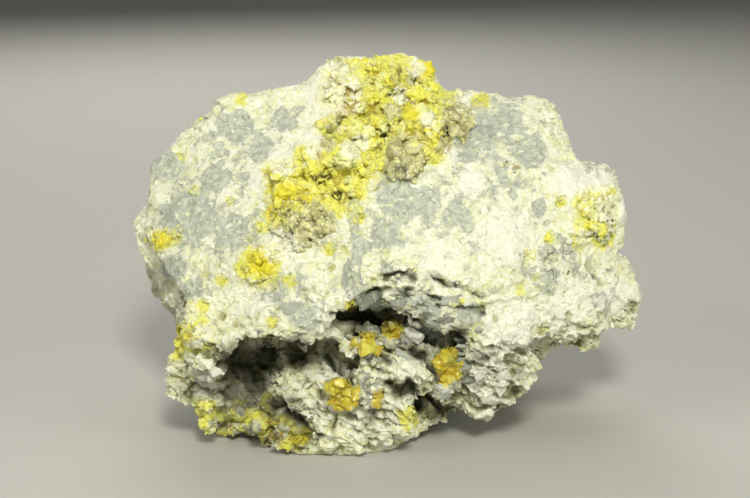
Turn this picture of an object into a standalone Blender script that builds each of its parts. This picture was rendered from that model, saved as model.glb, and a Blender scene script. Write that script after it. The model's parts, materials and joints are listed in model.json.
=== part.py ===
"""Native sulfur specimen: a broken block of pale limestone breccia whose hollows are lined with sulfur
and calcite crystals.

Metres, +Z up, best side towards -Y. The origin is on the surface that the specimen rests on, under the
middle of its box. Sizes in the tables below are millimetres, because a rock is described that way.

The matrix is a pile of broken masses. Each mass is the hull of the corners of its front face and of the
same corners moved back. The masses are fused, hollows are taken out of them, the skin is roughened, and
the underside is cut flat where it touches the table. Crystals are then seated on the finished matrix,
each hollow's crystals fused to one crust that lies a hair above the rock.
"""

import math
import random
from typing import NamedTuple

import bmesh
import bpy
from mathutils import Matrix, Vector, noise

MM = 0.001

# The underside is cut flat where it meets the table.
REST_CUT = 0.0015
TABLE_SIDE = 0.6

# How finely the masses are fused, and how many triangles the finished matrix keeps.
FUSE_VOXEL = 0.003
MATRIX_TRIANGLES = 4200

# How the skin is broken. Sizes across it are metres, heights are millimetres.
SWELL_ACROSS, SWELL_HEIGHT = 0.052, 4.0
BLOCK_ACROSS, BLOCK_HEIGHT = 0.026, 4.5
BLOCK_SPREAD = 7.3  # pulls neighbouring blocks' heights apart
CRACK_WIDTH = 0.22  # in parts of a block
CRACK_DEPTH, CRACK_LEVEL = 2.2, 1.7
GRAIN_ACROSS, GRAIN_HEIGHT = 0.011, 1.6

# The foot is bedded: its steps climb to the left, and fade out below this height.
BEDS_TOP, BEDS_FADE = 0.095, 0.02
BED_THICK, BED_RISE, BED_HEIGHT = 0.017, 0.45, 4.0
BED_WAVE_ACROSS, BED_WAVE = 0.03, 0.004

# A crust floats this far above the rock, because two solids may not share a surface. Crusts made later
# keep twice as far from it.
CRUST_GAP = 0.00035
WRAP_GAP = 2 * CRUST_GAP

# Crystals of a crust stand this far apart, in parts of their mean size, so that each meets another.
NEAREST_SEAT = 0.55
FARTHEST_SEAT = 0.8
TRIES = 6000
FLAT_ANGLE = 1.0
LEAN = 55  # degrees from the rock's normal, at most
STANDING = (0.0, 0.25)  # how far a crystal's middle stands off the rock, in parts of its size

# The crystals' forms, in parts of their size: half height, how much of the tip is cut, half widths.
SULFUR_TALL = (0.5, 0.8)
SULFUR_CUT = (0.25, 0.6)
SULFUR_LONG, SULFUR_WIDE = 0.5, 0.42
CALCITE_TALL = (0.3, 0.42)
CALCITE_WIDE = 0.5
CALCITE_POINT = 1.5  # the two end corners' height, in parts of the half height

ELLIPSOID_SUBDIVISIONS = 3

SURFACES = {
    "sulfur": {"colour": (0.86, 0.70, 0.06), "roughness": 0.35},
    "calcite": {"colour": (0.60, 0.55, 0.42), "roughness": 0.4},
    "limestone": {"colour": (0.78, 0.77, 0.66), "roughness": 0.9},
}


class Mass(NamedTuple):
    """A broken mass: its front corners in millimetres, how far back it goes, and how much it narrows."""

    name: str
    front: list
    depth: float
    narrowing: float = 0.85


class Hollow(NamedTuple):
    """A rounded hollow: middle, half sizes and the turn about Y in degrees, in millimetres."""

    name: str
    middle: tuple
    half: tuple
    turn: float = 0.0


class Crust(NamedTuple):
    """A patch of crystals: the region of rock that it covers, and what grows there."""

    name: str
    mineral: str
    middle: tuple
    half: tuple
    size: tuple  # smallest and largest crystal, mm
    seed: int


MASSES = [
    # The two big slabs of the best side. Their lower edges overhang the foot.
    Mass("left slab", [(-149, -2, 162), (-115, 3, 191), (-82, 3, 199), (-44, 12, 214), (-36, -10, 192),
                       (-26, -50, 158), (-14, -80, 125), (-12, -86, 106), (-25, -90, 98), (-52, -93, 85),
                       (-77, -91, 78), (-92, -86, 76), (-112, -68, 82), (-126, -46, 96), (-148, -14, 120)], 80),
    Mass("left horn", [(-110, 2, 197), (-108, 4, 203), (-97, 6, 205), (-84, 8, 205), (-77, 8, 200),
                       (-82, -4, 186), (-106, -2, 184)], 30),
    Mass("right slab", [(-24, -55, 156), (-3, -50, 168), (35, -48, 172), (106, -30, 168), (134, -16, 160),
                        (140, -22, 127), (138, -40, 94), (124, -60, 74), (90, -78, 74), (51, -90, 104),
                        (3, -88, 119), (-26, -76, 127)], 60, 0.8),
    Mass("centre face", [(-6, -84, 112), (24, -90, 109), (45, -92, 102), (63, -91, 92), (88, -84, 74),
                         (60, -92, 70), (34, -90, 77), (12, -86, 87)], 60),
    Mass("bridge", [(-26, -82, 126), (6, -88, 122), (12, -91, 102), (-6, -90, 97), (-24, -89, 101)], 40),
    Mass("undercut wall", [(-108, -34, 66), (-100, -40, 24), (-62, -48, 10), (-40, -50, 66)], 80),
    Mass("lip boss", [(90, -70, 80), (106, -64, 80), (128, -47, 76), (129, -42, 63), (118, -44, 53),
                      (102, -50, 56)], 30),
    Mass("lip tip", [(-78, -86, 90), (-62, -88, 76), (-51, -90, 70), (-44, -90, 70), (-37, -90, 78),
                     (-30, -88, 92), (-48, -84, 100)], 26, 0.8),
    Mass("lip tooth", [(-121, -66, 84), (-116, -72, 66), (-111, -76, 52), (-104, -78, 44), (-97, -80, 52),
                       (-90, -86, 74), (-104, -74, 88)], 24, 0.7),
    # The sloping top, behind the slabs.
    Mass("left shoulder", [(-149, 8, 158), (-118, 6, 188), (-84, 10, 194), (-84, 34, 188), (-118, 34, 164)], 36),
    Mass("ridge", [(-48, 25, 214), (-40, 28, 221), (-30, 30, 223), (-3, 30, 222), (7, 30, 223), (20, 28, 222),
                   (34, 20, 208), (30, 0, 194), (-6, -18, 190), (-48, -5, 198)], 40, 0.75),
    Mass("right shoulder", [(25, 25, 204), (66, 25, 200), (103, 15, 194), (114, 0, 180), (114, -24, 164),
                            (35, -44, 172), (6, -38, 178)], 42, 0.75),
    Mass("right corner", [(109, -22, 162), (116, -14, 166), (132, -8, 165), (141, -14, 156), (143, -20, 139),
                          (141, -26, 122), (112, -48, 121), (103, -42, 148)], 34, 0.75),
    Mass("right knob", [(130, -8, 105), (144, -2, 104), (151, -6, 92), (158, -8, 82), (157, -10, 65),
                        (146, -14, 60), (129, -24, 62), (119, -42, 82)], 40, 0.75),
    # The left flank, which faces away from the light.
    Mass("left flank", [(-156, 8, 132), (-157, 6, 114), (-154, 8, 98), (-152, 8, 80), (-146, 6, 67),
                        (-128, -20, 66), (-121, -40, 82), (-133, -14, 121)], 50, 0.8),
    # The foot: ledges that step down from left to right under the slabs.
    Mass("left lobe", [(-124, -64, 66), (-134, -62, 44), (-135, -60, 35), (-124, -60, 27), (-106, -60, 17),
                       (-92, -58, 12), (-88, -56, 36), (-102, -60, 60)], 75, 0.7),
    Mass("upper ledge", [(-41, -74, 80), (-26, -68, 87), (23, -76, 68), (51, -66, 36), (30, -72, 33),
                         (6, -84, 44), (-33, -83, 69)], 60),
    Mass("lower ledge", [(-66, -66, 57), (-52, -66, 62), (-23, -82, 55), (6, -88, 39), (17, -84, 35),
                         (16, -80, 17), (-6, -78, 8), (-27, -74, 1), (-53, -72, 2), (-70, -62, 10),
                         (-74, -64, 36)], 70),
    Mass("right lobe", [(27, -72, 66), (51, -84, 77), (82, -74, 66), (90, -66, 53), (85, -62, 36),
                        (73, -60, 22), (61, -60, 18), (48, -60, 18), (39, -62, 28), (27, -66, 41)], 60, 0.75),
    Mass("toe", [(-90, -50, 10), (-54, -64, -2), (-27, -70, -3), (7, -68, 1), (28, -48, 10), (48, -38, 16),
                 (60, -26, 34), (-94, -36, 36)], 96, 0.85),
    # The back, broken off in rough faces. The two roots carry the overhanging ends.
    Mass("left root", [(-140, 0, 125), (-140, 0, 78), (-118, 0, 52), (-112, 0, 16), (-88, 0, 6), (-80, 0, 120)],
         58, 0.85),
    Mass("right root", [(130, 0, 108), (136, 0, 78), (120, 0, 50), (92, 0, 36), (78, 0, 60), (78, 0, 110)],
         58, 0.85),
    Mass("upper back", [(-90, 30, 184), (10, 35, 200), (72, 30, 180), (96, 30, 130), (-112, 30, 120)], 46, 0.75),
    Mass("lower back", [(-116, 10, 125), (112, 12, 118), (98, 20, 40), (60, 20, -2), (-70, 20, -3),
                        (-108, 10, 36)], 70, 0.8),
]

CORE_MIDDLE = (0, 5, 110)
CORE_HALF = (118, 62, 92)

HOLLOWS = [
    # The trough between the slabs, from the ridge down to the left slab's middle.
    Hollow("ridge hollow", (-4, -12, 204), (26, 14, 10), 15),
    Hollow("middle hollow", (2, -46, 180), (38, 14, 11), -12),
    Hollow("slab hollow", (-38, -52, 166), (24, 14, 10), -38),
    Hollow("lower trough", (-58, -68, 148), (23, 12, 14), -42),
    Hollow("trough end", (-74, -82, 121), (11, 9, 10), -30),
    Hollow("shoulder notch", (116, -14, 172), (4, 30, 6)),
    # Under the slabs.
    Hollow("undercut", (-66, -72, 61), (36, 42, 13), -4),
    Hollow("deep undercut", (-80, -66, 46), (20, 40, 17), 20),
    Hollow("recess", (-8, -86, 88), (18, 24, 7), -26),
    Hollow("fissure", (24, -94, 107), (22, 9, 3), 14),
    Hollow("amber recess", (6, -82, 76), (13, 12, 6), -25),
    Hollow("column recess", (40, -82, 60), (9, 16, 16), 8),
    Hollow("foot slot", (24, -76, 22), (8, 22, 8)),
    Hollow("right undercut", (108, -70, 60), (24, 28, 9), 12),
    Hollow("left pocket", (-125, -72, 76), (8, 12, 9)),
    # The back.
    Hollow("back hollow", (-20, 86, 130), (34, 16, 22), 25),
    Hollow("back pocket", (62, 74, 78), (17, 13, 13), -20),
]

CRUSTS = [
    # Calcite first: the sulfur round it is cut back from it.
    Crust("calcite_cluster_peak", "calcite", (8, 4, 214), (10, 14, 12), (12, 16), 21),
    Crust("calcite_cluster_centre", "calcite", (8, -46, 173), (14, 14, 7), (12, 17), 22),
    Crust("calcite_cluster_right", "calcite", (40, -20, 193), (10, 16, 12), (12, 17), 23),
    Crust("calcite_crust_trough", "calcite", (-51, -66, 141), (14, 16, 11), (12, 17), 24),
    Crust("calcite_cluster_back", "calcite", (62, 68, 78), (14, 14, 11), (15, 21), 25),
    Crust("sulfur_crust_ridge", "sulfur", (-4, -2, 209), (36, 24, 15), (15, 22), 11),
    Crust("sulfur_crust_middle", "sulfur", (10, -30, 188), (32, 18, 12), (15, 22), 12),
    Crust("sulfur_crust_trough", "sulfur", (-44, -48, 164), (30, 22, 19), (15, 22), 13),
    Crust("sulfur_crust_slab_end", "sulfur", (-76, -80, 120), (12, 18, 13), (12, 18), 14),
    Crust("sulfur_pocket_right", "sulfur", (121, -28, 137), (11, 16, 14), (12, 17), 15),
    Crust("sulfur_pocket_left", "sulfur", (-121, -64, 73), (9, 16, 12), (12, 17), 16),
    Crust("sulfur_crystals_ledge", "sulfur", (-12, -80, 72), (12, 14, 8), (12, 18), 17),
    Crust("sulfur_cluster_amber", "sulfur", (5, -76, 79), (9, 14, 8), (11, 15), 18),
    Crust("sulfur_cluster_lower", "sulfur", (-22, -83, 46), (15, 14, 11), (12, 17), 19),
    Crust("sulfur_cluster_column", "sulfur", (34, -72, 58), (9, 20, 15), (12, 18), 20),
    Crust("sulfur_crust_left_foot", "sulfur", (-92, -52, 24), (18, 16, 13), (13, 19), 34),
    Crust("sulfur_lumps_toe", "sulfur", (-70, -62, 16), (13, 14, 10), (13, 19), 27),
    Crust("sulfur_crust_back", "sulfur", (-20, 76, 132), (22, 16, 14), (20, 28), 28),
]


# Meshes and objects


def new_object(name, mesh_or_bm, shown=True):
    """Puts a mesh or a bmesh in the scene as an object."""
    mesh = mesh_or_bm
    if isinstance(mesh_or_bm, bmesh.types.BMesh):
        mesh = bpy.data.meshes.new(name)
        mesh_or_bm.to_mesh(mesh)
        mesh_or_bm.free()
    obj = bpy.data.objects.new(name, mesh)
    bpy.context.scene.collection.objects.link(obj)
    obj.hide_render = not shown
    return obj


def bake_modifiers(obj):
    """Turns an object's modifiers into its mesh."""
    graph = bpy.context.evaluated_depsgraph_get()
    baked = bpy.data.meshes.new_from_object(obj.evaluated_get(graph))
    obj.modifiers.clear()
    obj.data = baked
    return obj


def combine(obj, other, operation):
    """Joins other to obj, or cuts it away, and removes other."""
    modifier = obj.modifiers.new(operation.lower(), "BOOLEAN")
    modifier.operation = operation
    modifier.object = other
    bake_modifiers(obj)
    bpy.data.objects.remove(other)
    return obj


def mesh_of(obj):
    bm = bmesh.new()
    bm.from_mesh(obj.data)
    return bm


def shell_volume(faces):
    """Signed volume inside a closed set of triangles or polygons."""
    total = 0.0
    for face in faces:
        first = face.verts[0].co
        for a, b in zip(face.verts[1:-1], face.verts[2:]):
            total += first.dot(a.co.cross(b.co)) / 6
    return total


def keep_main_body(obj):
    """Drops loose chips and sealed voids, so that one closed body is left."""
    bm = mesh_of(obj)
    unseen = set(bm.faces)
    shells = []
    while unseen:
        stack = [unseen.pop()]
        shell = []
        while stack:
            face = stack.pop()
            shell.append(face)
            for edge in face.edges:
                for beside in edge.link_faces:
                    if beside in unseen:
                        unseen.remove(beside)
                        stack.append(beside)
        shells.append(shell)
    main = max(shells, key=shell_volume)
    for shell in shells:
        if shell is not main:
            bmesh.ops.delete(bm, geom=shell, context="FACES")
    bm.to_mesh(obj.data)
    bm.free()
    return obj


# The matrix


def add_hull(bm, points):
    """Adds the convex hull of the points as its own closed shell."""
    verts = [bm.verts.new(p) for p in points]
    made = bmesh.ops.convex_hull(bm, input=verts)
    spare = set(made["geom_unused"] + made["geom_interior"])
    bmesh.ops.delete(bm, geom=[item for item in spare if isinstance(item, bmesh.types.BMVert)], context="VERTS")


def add_mass(bm, mass):
    front = [Vector(corner) * MM for corner in mass.front]
    middle = sum(front, Vector()) / len(front)
    back = [middle + (corner - middle) * mass.narrowing + Vector((0, mass.depth * MM, 0)) for corner in front]
    add_hull(bm, front + back)


def add_ellipsoid(bm, middle, half, turn=0.0):
    place = Matrix.Translation(Vector(middle) * MM)
    place @= Matrix.Rotation(math.radians(-turn), 4, "Y") @ Matrix.Diagonal(Vector(half) * MM).to_4x4()
    bmesh.ops.create_icosphere(bm, subdivisions=ELLIPSOID_SUBDIVISIONS, radius=1.0, matrix=place)


def fused_masses():
    """Every mass and the core as one closed skin of small quads."""
    bm = bmesh.new()
    for mass in MASSES:
        add_mass(bm, mass)
    add_ellipsoid(bm, CORE_MIDDLE, CORE_HALF)
    bmesh.ops.recalc_face_normals(bm, faces=bm.faces)
    return fuse(new_object("masses", bm, shown=False))


def fuse(obj):
    """One outer skin round everything in the object."""
    remesh = obj.modifiers.new("fuse", "REMESH")
    remesh.mode = "VOXEL"
    remesh.voxel_size = FUSE_VOXEL
    return bake_modifiers(obj)


def fused_hollows():
    bm = bmesh.new()
    for hollow in HOLLOWS:
        add_ellipsoid(bm, hollow.middle, hollow.half, hollow.turn)
    return fuse(new_object("hollows", bm, shown=False))


def broken_height(point):
    """How far the rough skin stands out of the smooth masses at a point, in metres."""
    swell = noise.noise(point / SWELL_ACROSS) * SWELL_HEIGHT
    distances, cells = noise.voronoi(point / BLOCK_ACROSS)
    block = noise.noise(cells[0] * BLOCK_SPREAD) * BLOCK_HEIGHT
    inside = min(distances[1] - distances[0], CRACK_WIDTH) / CRACK_WIDTH
    crack = inside * CRACK_DEPTH - CRACK_LEVEL
    grain = noise.noise(point / GRAIN_ACROSS) * GRAIN_HEIGHT
    foot = max(0.0, min(1.0, (BEDS_TOP - point.z) / BEDS_FADE))
    wave = noise.noise(point / BED_WAVE_ACROSS) * BED_WAVE
    layer = (point.z + BED_RISE * point.x + wave) / BED_THICK
    step = (layer - math.floor(layer) - 0.5) * BED_HEIGHT * foot
    return (swell + block + crack + grain + step) * MM


def roughen(obj):
    bm = mesh_of(obj)
    bm.normal_update()
    moves = [(vert, vert.normal * broken_height(vert.co)) for vert in bm.verts]
    for vert, move in moves:
        vert.co += move
    bm.to_mesh(obj.data)
    bm.free()
    return obj


def thin_out(obj, triangles):
    """Collapses the skin to this many triangles, keeping the most where it bends most."""
    bm = mesh_of(obj)
    bmesh.ops.triangulate(bm, faces=bm.faces)
    now = len(bm.faces)
    bm.to_mesh(obj.data)
    bm.free()
    decimate = obj.modifiers.new("thin out", "DECIMATE")
    decimate.ratio = triangles / now
    decimate.use_collapse_triangulate = True
    return bake_modifiers(obj)


def table_block(top):
    """Everything under a height, to cut away."""
    bm = bmesh.new()
    place = Matrix.Translation((0, 0, top - TABLE_SIDE / 2))
    bmesh.ops.create_cube(bm, size=TABLE_SIDE, matrix=place)
    return new_object("table", bm, shown=False)


def build_matrix():
    rock = combine(fused_masses(), fused_hollows(), "DIFFERENCE")
    fuse(rock)
    roughen(rock)
    fuse(rock)
    thin_out(rock, MATRIX_TRIANGLES)
    combine(rock, table_block(REST_CUT), "DIFFERENCE")
    keep_main_body(rock)
    rock.name = "limestone_matrix"
    rock.hide_render = False
    return rock


# Crystals


def dipyramid(rng):
    """Sulfur: a stubby pyramid above and below a rhombus, with both tips cut flat."""
    tall = rng.uniform(*SULFUR_TALL)
    cut = rng.uniform(*SULFUR_CUT)
    far, wide = Vector((SULFUR_LONG, 0, 0)), Vector((0, SULFUR_WIDE, 0))
    rim = [far, wide, -far, -wide]
    caps = [corner * cut + Vector((0, 0, side * tall * (1 - cut))) for side in (1, -1) for corner in rim]
    return rim + caps


def rhomb(rng):
    """Calcite: a blunt block of six rhombs standing on one corner."""
    tall = rng.uniform(*CALCITE_TALL)
    corners = [Vector((0, 0, CALCITE_POINT * tall)), Vector((0, 0, -CALCITE_POINT * tall))]
    for step in range(6):
        angle = math.radians(60 * step)
        height = tall / 2 if step % 2 else -tall / 2
        corners.append(Vector((CALCITE_WIDE * math.cos(angle), CALCITE_WIDE * math.sin(angle), height)))
    return corners


CRYSTALS = {"sulfur": dipyramid, "calcite": rhomb}


def within(point, crust, room=0.0):
    """Whether a point is inside the crust's region, widened by some room in millimetres."""
    offset = [(point[i] / MM - crust.middle[i]) / (crust.half[i] + room) for i in range(3)]
    return sum(o * o for o in offset) < 1


def seats(bm, crust, others, rng):
    """Points on the rock inside the crust's region, each beside another but not on it, with normals.

    They keep out of the other crusts' regions.
    """
    faces = [face for face in bm.faces if within(face.calc_center_median(), crust, crust.size[1])]
    areas = [face.calc_area() for face in faces]
    mean = sum(crust.size) / 2 * MM
    found = []
    for face in rng.choices(faces, areas, k=TRIES):
        a, b, c = (vert.co for vert in face.verts)
        u, v = sorted((rng.random(), rng.random()))
        point = a * u + b * (v - u) + c * (1 - v)
        nearest = min(((point - other).length for other, _ in found), default=NEAREST_SEAT * mean)
        beside = NEAREST_SEAT * mean <= nearest <= FARTHEST_SEAT * mean
        if beside and within(point, crust) and not any(within(point, other) for other in others):
            found.append((point, face.normal.copy()))
    return found


def turned(rng, normal, lean):
    """A frame whose Z leans at most this many degrees from the normal."""
    spin = Matrix.Rotation(rng.uniform(0, math.tau), 3, "Z")
    tilt = Matrix.Rotation(math.radians(rng.uniform(0, lean)), 3, "X")
    swing = Matrix.Rotation(rng.uniform(0, math.tau), 3, "Z")
    return normal.to_track_quat("Z", "Y").to_matrix() @ swing @ tilt @ spin


def grown(obj, distance):
    """A copy whose skin is moved out, to cut with."""
    bm = mesh_of(obj)
    bmesh.ops.triangulate(bm, faces=bm.faces)
    bm.normal_update()
    moves = [(vert, vert.normal * distance) for vert in bm.verts]
    for vert, move in moves:
        vert.co += move
    return new_object("grown", bm, shown=False)


def build_crust(crust, rock, wraps):
    """One body of grown-together crystals, cut back from the rock, the table and the crusts made before it.

    Its own wrap, which is the same crystals a little larger, is kept for the crusts made after it.
    """
    rng = random.Random(crust.seed)
    surface = mesh_of(rock)
    bmesh.ops.triangulate(surface, faces=surface.faces)
    body = wrap = None
    for point, normal in seats(surface, crust, wraps, rng):
        corners = grow_crystal(crust, point, normal, rng)
        crystal, larger = solid(corners, 0.0), solid(corners, WRAP_GAP)
        body = combine(body, crystal, "UNION") if body else crystal
        wrap = combine(wrap, larger, "UNION") if wrap else larger
    surface.free()
    combine(body, grown(rock, CRUST_GAP), "DIFFERENCE")
    combine(body, table_block(REST_CUT + CRUST_GAP), "DIFFERENCE")
    for other in wraps:
        if near(crust, other):
            combine(body, new_object("wrap", wraps[other].data.copy(), shown=False), "DIFFERENCE")
    wraps[crust] = wrap
    merge_flat(body)
    keep_main_body(body)
    body.name = crust.name
    body.hide_render = False
    return body


def grow_crystal(crust, point, normal, rng):
    """The corners of one crystal that leans off the rock."""
    size = rng.uniform(*crust.size) * MM
    turn = turned(rng, normal, LEAN)
    middle = point + normal * size * rng.uniform(*STANDING)
    return [middle + turn @ (corner * size) for corner in CRYSTALS[crust.mineral](rng)]


def solid(corners, room):
    """The hull of the corners, each moved this much further from their middle."""
    middle = sum(corners, Vector()) / len(corners)
    bm = bmesh.new()
    add_hull(bm, [corner + (corner - middle).normalized() * room for corner in corners])
    bmesh.ops.recalc_face_normals(bm, faces=bm.faces)
    return new_object("crystal", bm, shown=False)


def merge_flat(obj):
    """Joins faces that lie in one plane."""
    bm = mesh_of(obj)
    bmesh.ops.dissolve_limit(bm, angle_limit=math.radians(FLAT_ANGLE), verts=bm.verts, edges=bm.edges)
    bm.to_mesh(obj.data)
    bm.free()


def near(crust, other):
    """Whether two crusts' crystals can reach each other."""
    room = crust.size[1] + other.size[1]
    return all(abs(crust.middle[i] - other.middle[i]) < crust.half[i] + other.half[i] + room for i in range(3))


def build_crusts(rock):
    wraps = {}
    made = {crust: build_crust(crust, rock, wraps) for crust in CRUSTS}
    for wrap in wraps.values():
        bpy.data.objects.remove(wrap)
    return made


def paint(obj, mineral):
    material = bpy.data.materials.new(obj.name)
    material.use_nodes = True
    shader = material.node_tree.nodes["Principled BSDF"]
    shader.inputs["Base Color"].default_value = (*SURFACES[mineral]["colour"], 1)
    shader.inputs["Roughness"].default_value = SURFACES[mineral]["roughness"]
    obj.data.materials.clear()
    obj.data.materials.append(material)


def settle(objects):
    """Moves everything so that the box stands on z = 0 with its middle on the Z axis."""
    places = [vert.co for obj in objects for vert in obj.data.vertices]
    low, high = ([pick(place[i] for place in places) for i in range(3)] for pick in (min, max))
    move = Matrix.Translation((-(low[0] + high[0]) / 2, -(low[1] + high[1]) / 2, -low[2]))
    for obj in objects:
        obj.data.transform(move)


def main():
    for obj in list(bpy.data.objects):
        bpy.data.objects.remove(obj)
    rock = build_matrix()
    paint(rock, "limestone")
    crusts = build_crusts(rock)
    for crust, obj in crusts.items():
        paint(obj, crust.mineral)
    settle([rock, *crusts.values()])


main()
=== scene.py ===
"""Native sulfur specimen: the finished look of a broken block of limestone breccia with sulfur and calcite.

The rock's skin is one mesh, roughened at every scale from hand-sized lumps to chalk grit. Each hollow's
crystals are a lumpy crust with small crystals on it, and loose grains of all three minerals lie around them.
Lengths in names and lists are millimetres, because that is how a specimen is measured.
"""

import json
import math
import random
from typing import NamedTuple

import bpy
import numpy as np
from bpy.props import FloatProperty, FloatVectorProperty, IntProperty, PointerProperty
from mathutils import Matrix, Vector, noise
from mathutils.bvhtree import BVHTree

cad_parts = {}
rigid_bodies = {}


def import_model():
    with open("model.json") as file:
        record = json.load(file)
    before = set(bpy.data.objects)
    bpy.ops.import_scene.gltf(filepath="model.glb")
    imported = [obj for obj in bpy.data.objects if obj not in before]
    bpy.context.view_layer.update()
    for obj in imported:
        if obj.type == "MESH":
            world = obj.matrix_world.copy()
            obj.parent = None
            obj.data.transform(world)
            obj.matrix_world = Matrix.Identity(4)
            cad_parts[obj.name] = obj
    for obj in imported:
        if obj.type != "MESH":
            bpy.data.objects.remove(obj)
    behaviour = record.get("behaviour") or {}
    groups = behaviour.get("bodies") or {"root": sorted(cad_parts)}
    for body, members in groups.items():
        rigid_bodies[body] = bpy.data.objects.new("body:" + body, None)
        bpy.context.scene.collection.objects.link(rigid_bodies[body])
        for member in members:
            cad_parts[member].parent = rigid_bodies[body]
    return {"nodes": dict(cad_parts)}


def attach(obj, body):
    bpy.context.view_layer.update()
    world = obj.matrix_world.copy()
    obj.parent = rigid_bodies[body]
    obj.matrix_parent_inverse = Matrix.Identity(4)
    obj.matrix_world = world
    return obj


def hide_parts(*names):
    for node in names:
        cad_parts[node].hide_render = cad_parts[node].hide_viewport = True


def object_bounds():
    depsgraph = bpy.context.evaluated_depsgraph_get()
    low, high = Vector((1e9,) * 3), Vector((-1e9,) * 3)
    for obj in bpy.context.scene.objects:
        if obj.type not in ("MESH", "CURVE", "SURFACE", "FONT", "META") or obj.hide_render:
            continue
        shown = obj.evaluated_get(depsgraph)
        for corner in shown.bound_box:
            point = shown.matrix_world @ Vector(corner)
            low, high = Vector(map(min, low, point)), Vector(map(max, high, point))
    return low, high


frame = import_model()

bl_info = {
    "name": "Native sulfur specimen",
    "version": (1, 0, 0),
    "blender": (4, 5, 0),
    "location": "View3D > Sidebar > Specimen",
    "description": "Builds the skin, crusts and grains of a sulfur specimen around its packed solids",
    "category": "Object",
}

CAD_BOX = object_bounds()
MM = 0.001

# The best side is seen from here: straight on, a little from above.
BEST_TARGET = Vector((-0.0085, 0.0004, 0.1075))
BEST_DISTANCE = 1.0
BEST_ELEVATION = 15.0
BEST_LENS = 77.4  # mm, on a sensor 36 mm wide
FRONT_HALF = 30.0  # marks of the best side reach this far back, mm


MASSIVE_NODES = [
    "sulfur_crust_ridge", "sulfur_crust_middle", "sulfur_crust_trough", "sulfur_crust_slab_end",
    "sulfur_pocket_right", "sulfur_pocket_left", "sulfur_crust_left_foot", "sulfur_lumps_toe",
    "sulfur_crust_back",
]
CRYSTAL_NODES = [
    "sulfur_crystals_ledge", "sulfur_cluster_amber", "sulfur_cluster_lower", "sulfur_cluster_column",
]
CALCITE_NODES = [
    "calcite_cluster_peak", "calcite_cluster_centre", "calcite_cluster_right", "calcite_crust_trough",
    "calcite_cluster_back",
]


# Where things are on the best side


class Patch(NamedTuple):
    """A stained or coloured area of the best side: mm right and up of the view's middle, and its reach."""

    kind: str
    right: float
    up: float
    reach: float
    strength: float = 1.0


class Crack(NamedTuple):
    """An open crack on the best side, through these places in mm, with its width and depth."""

    places: list
    width: float
    depth: float


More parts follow.
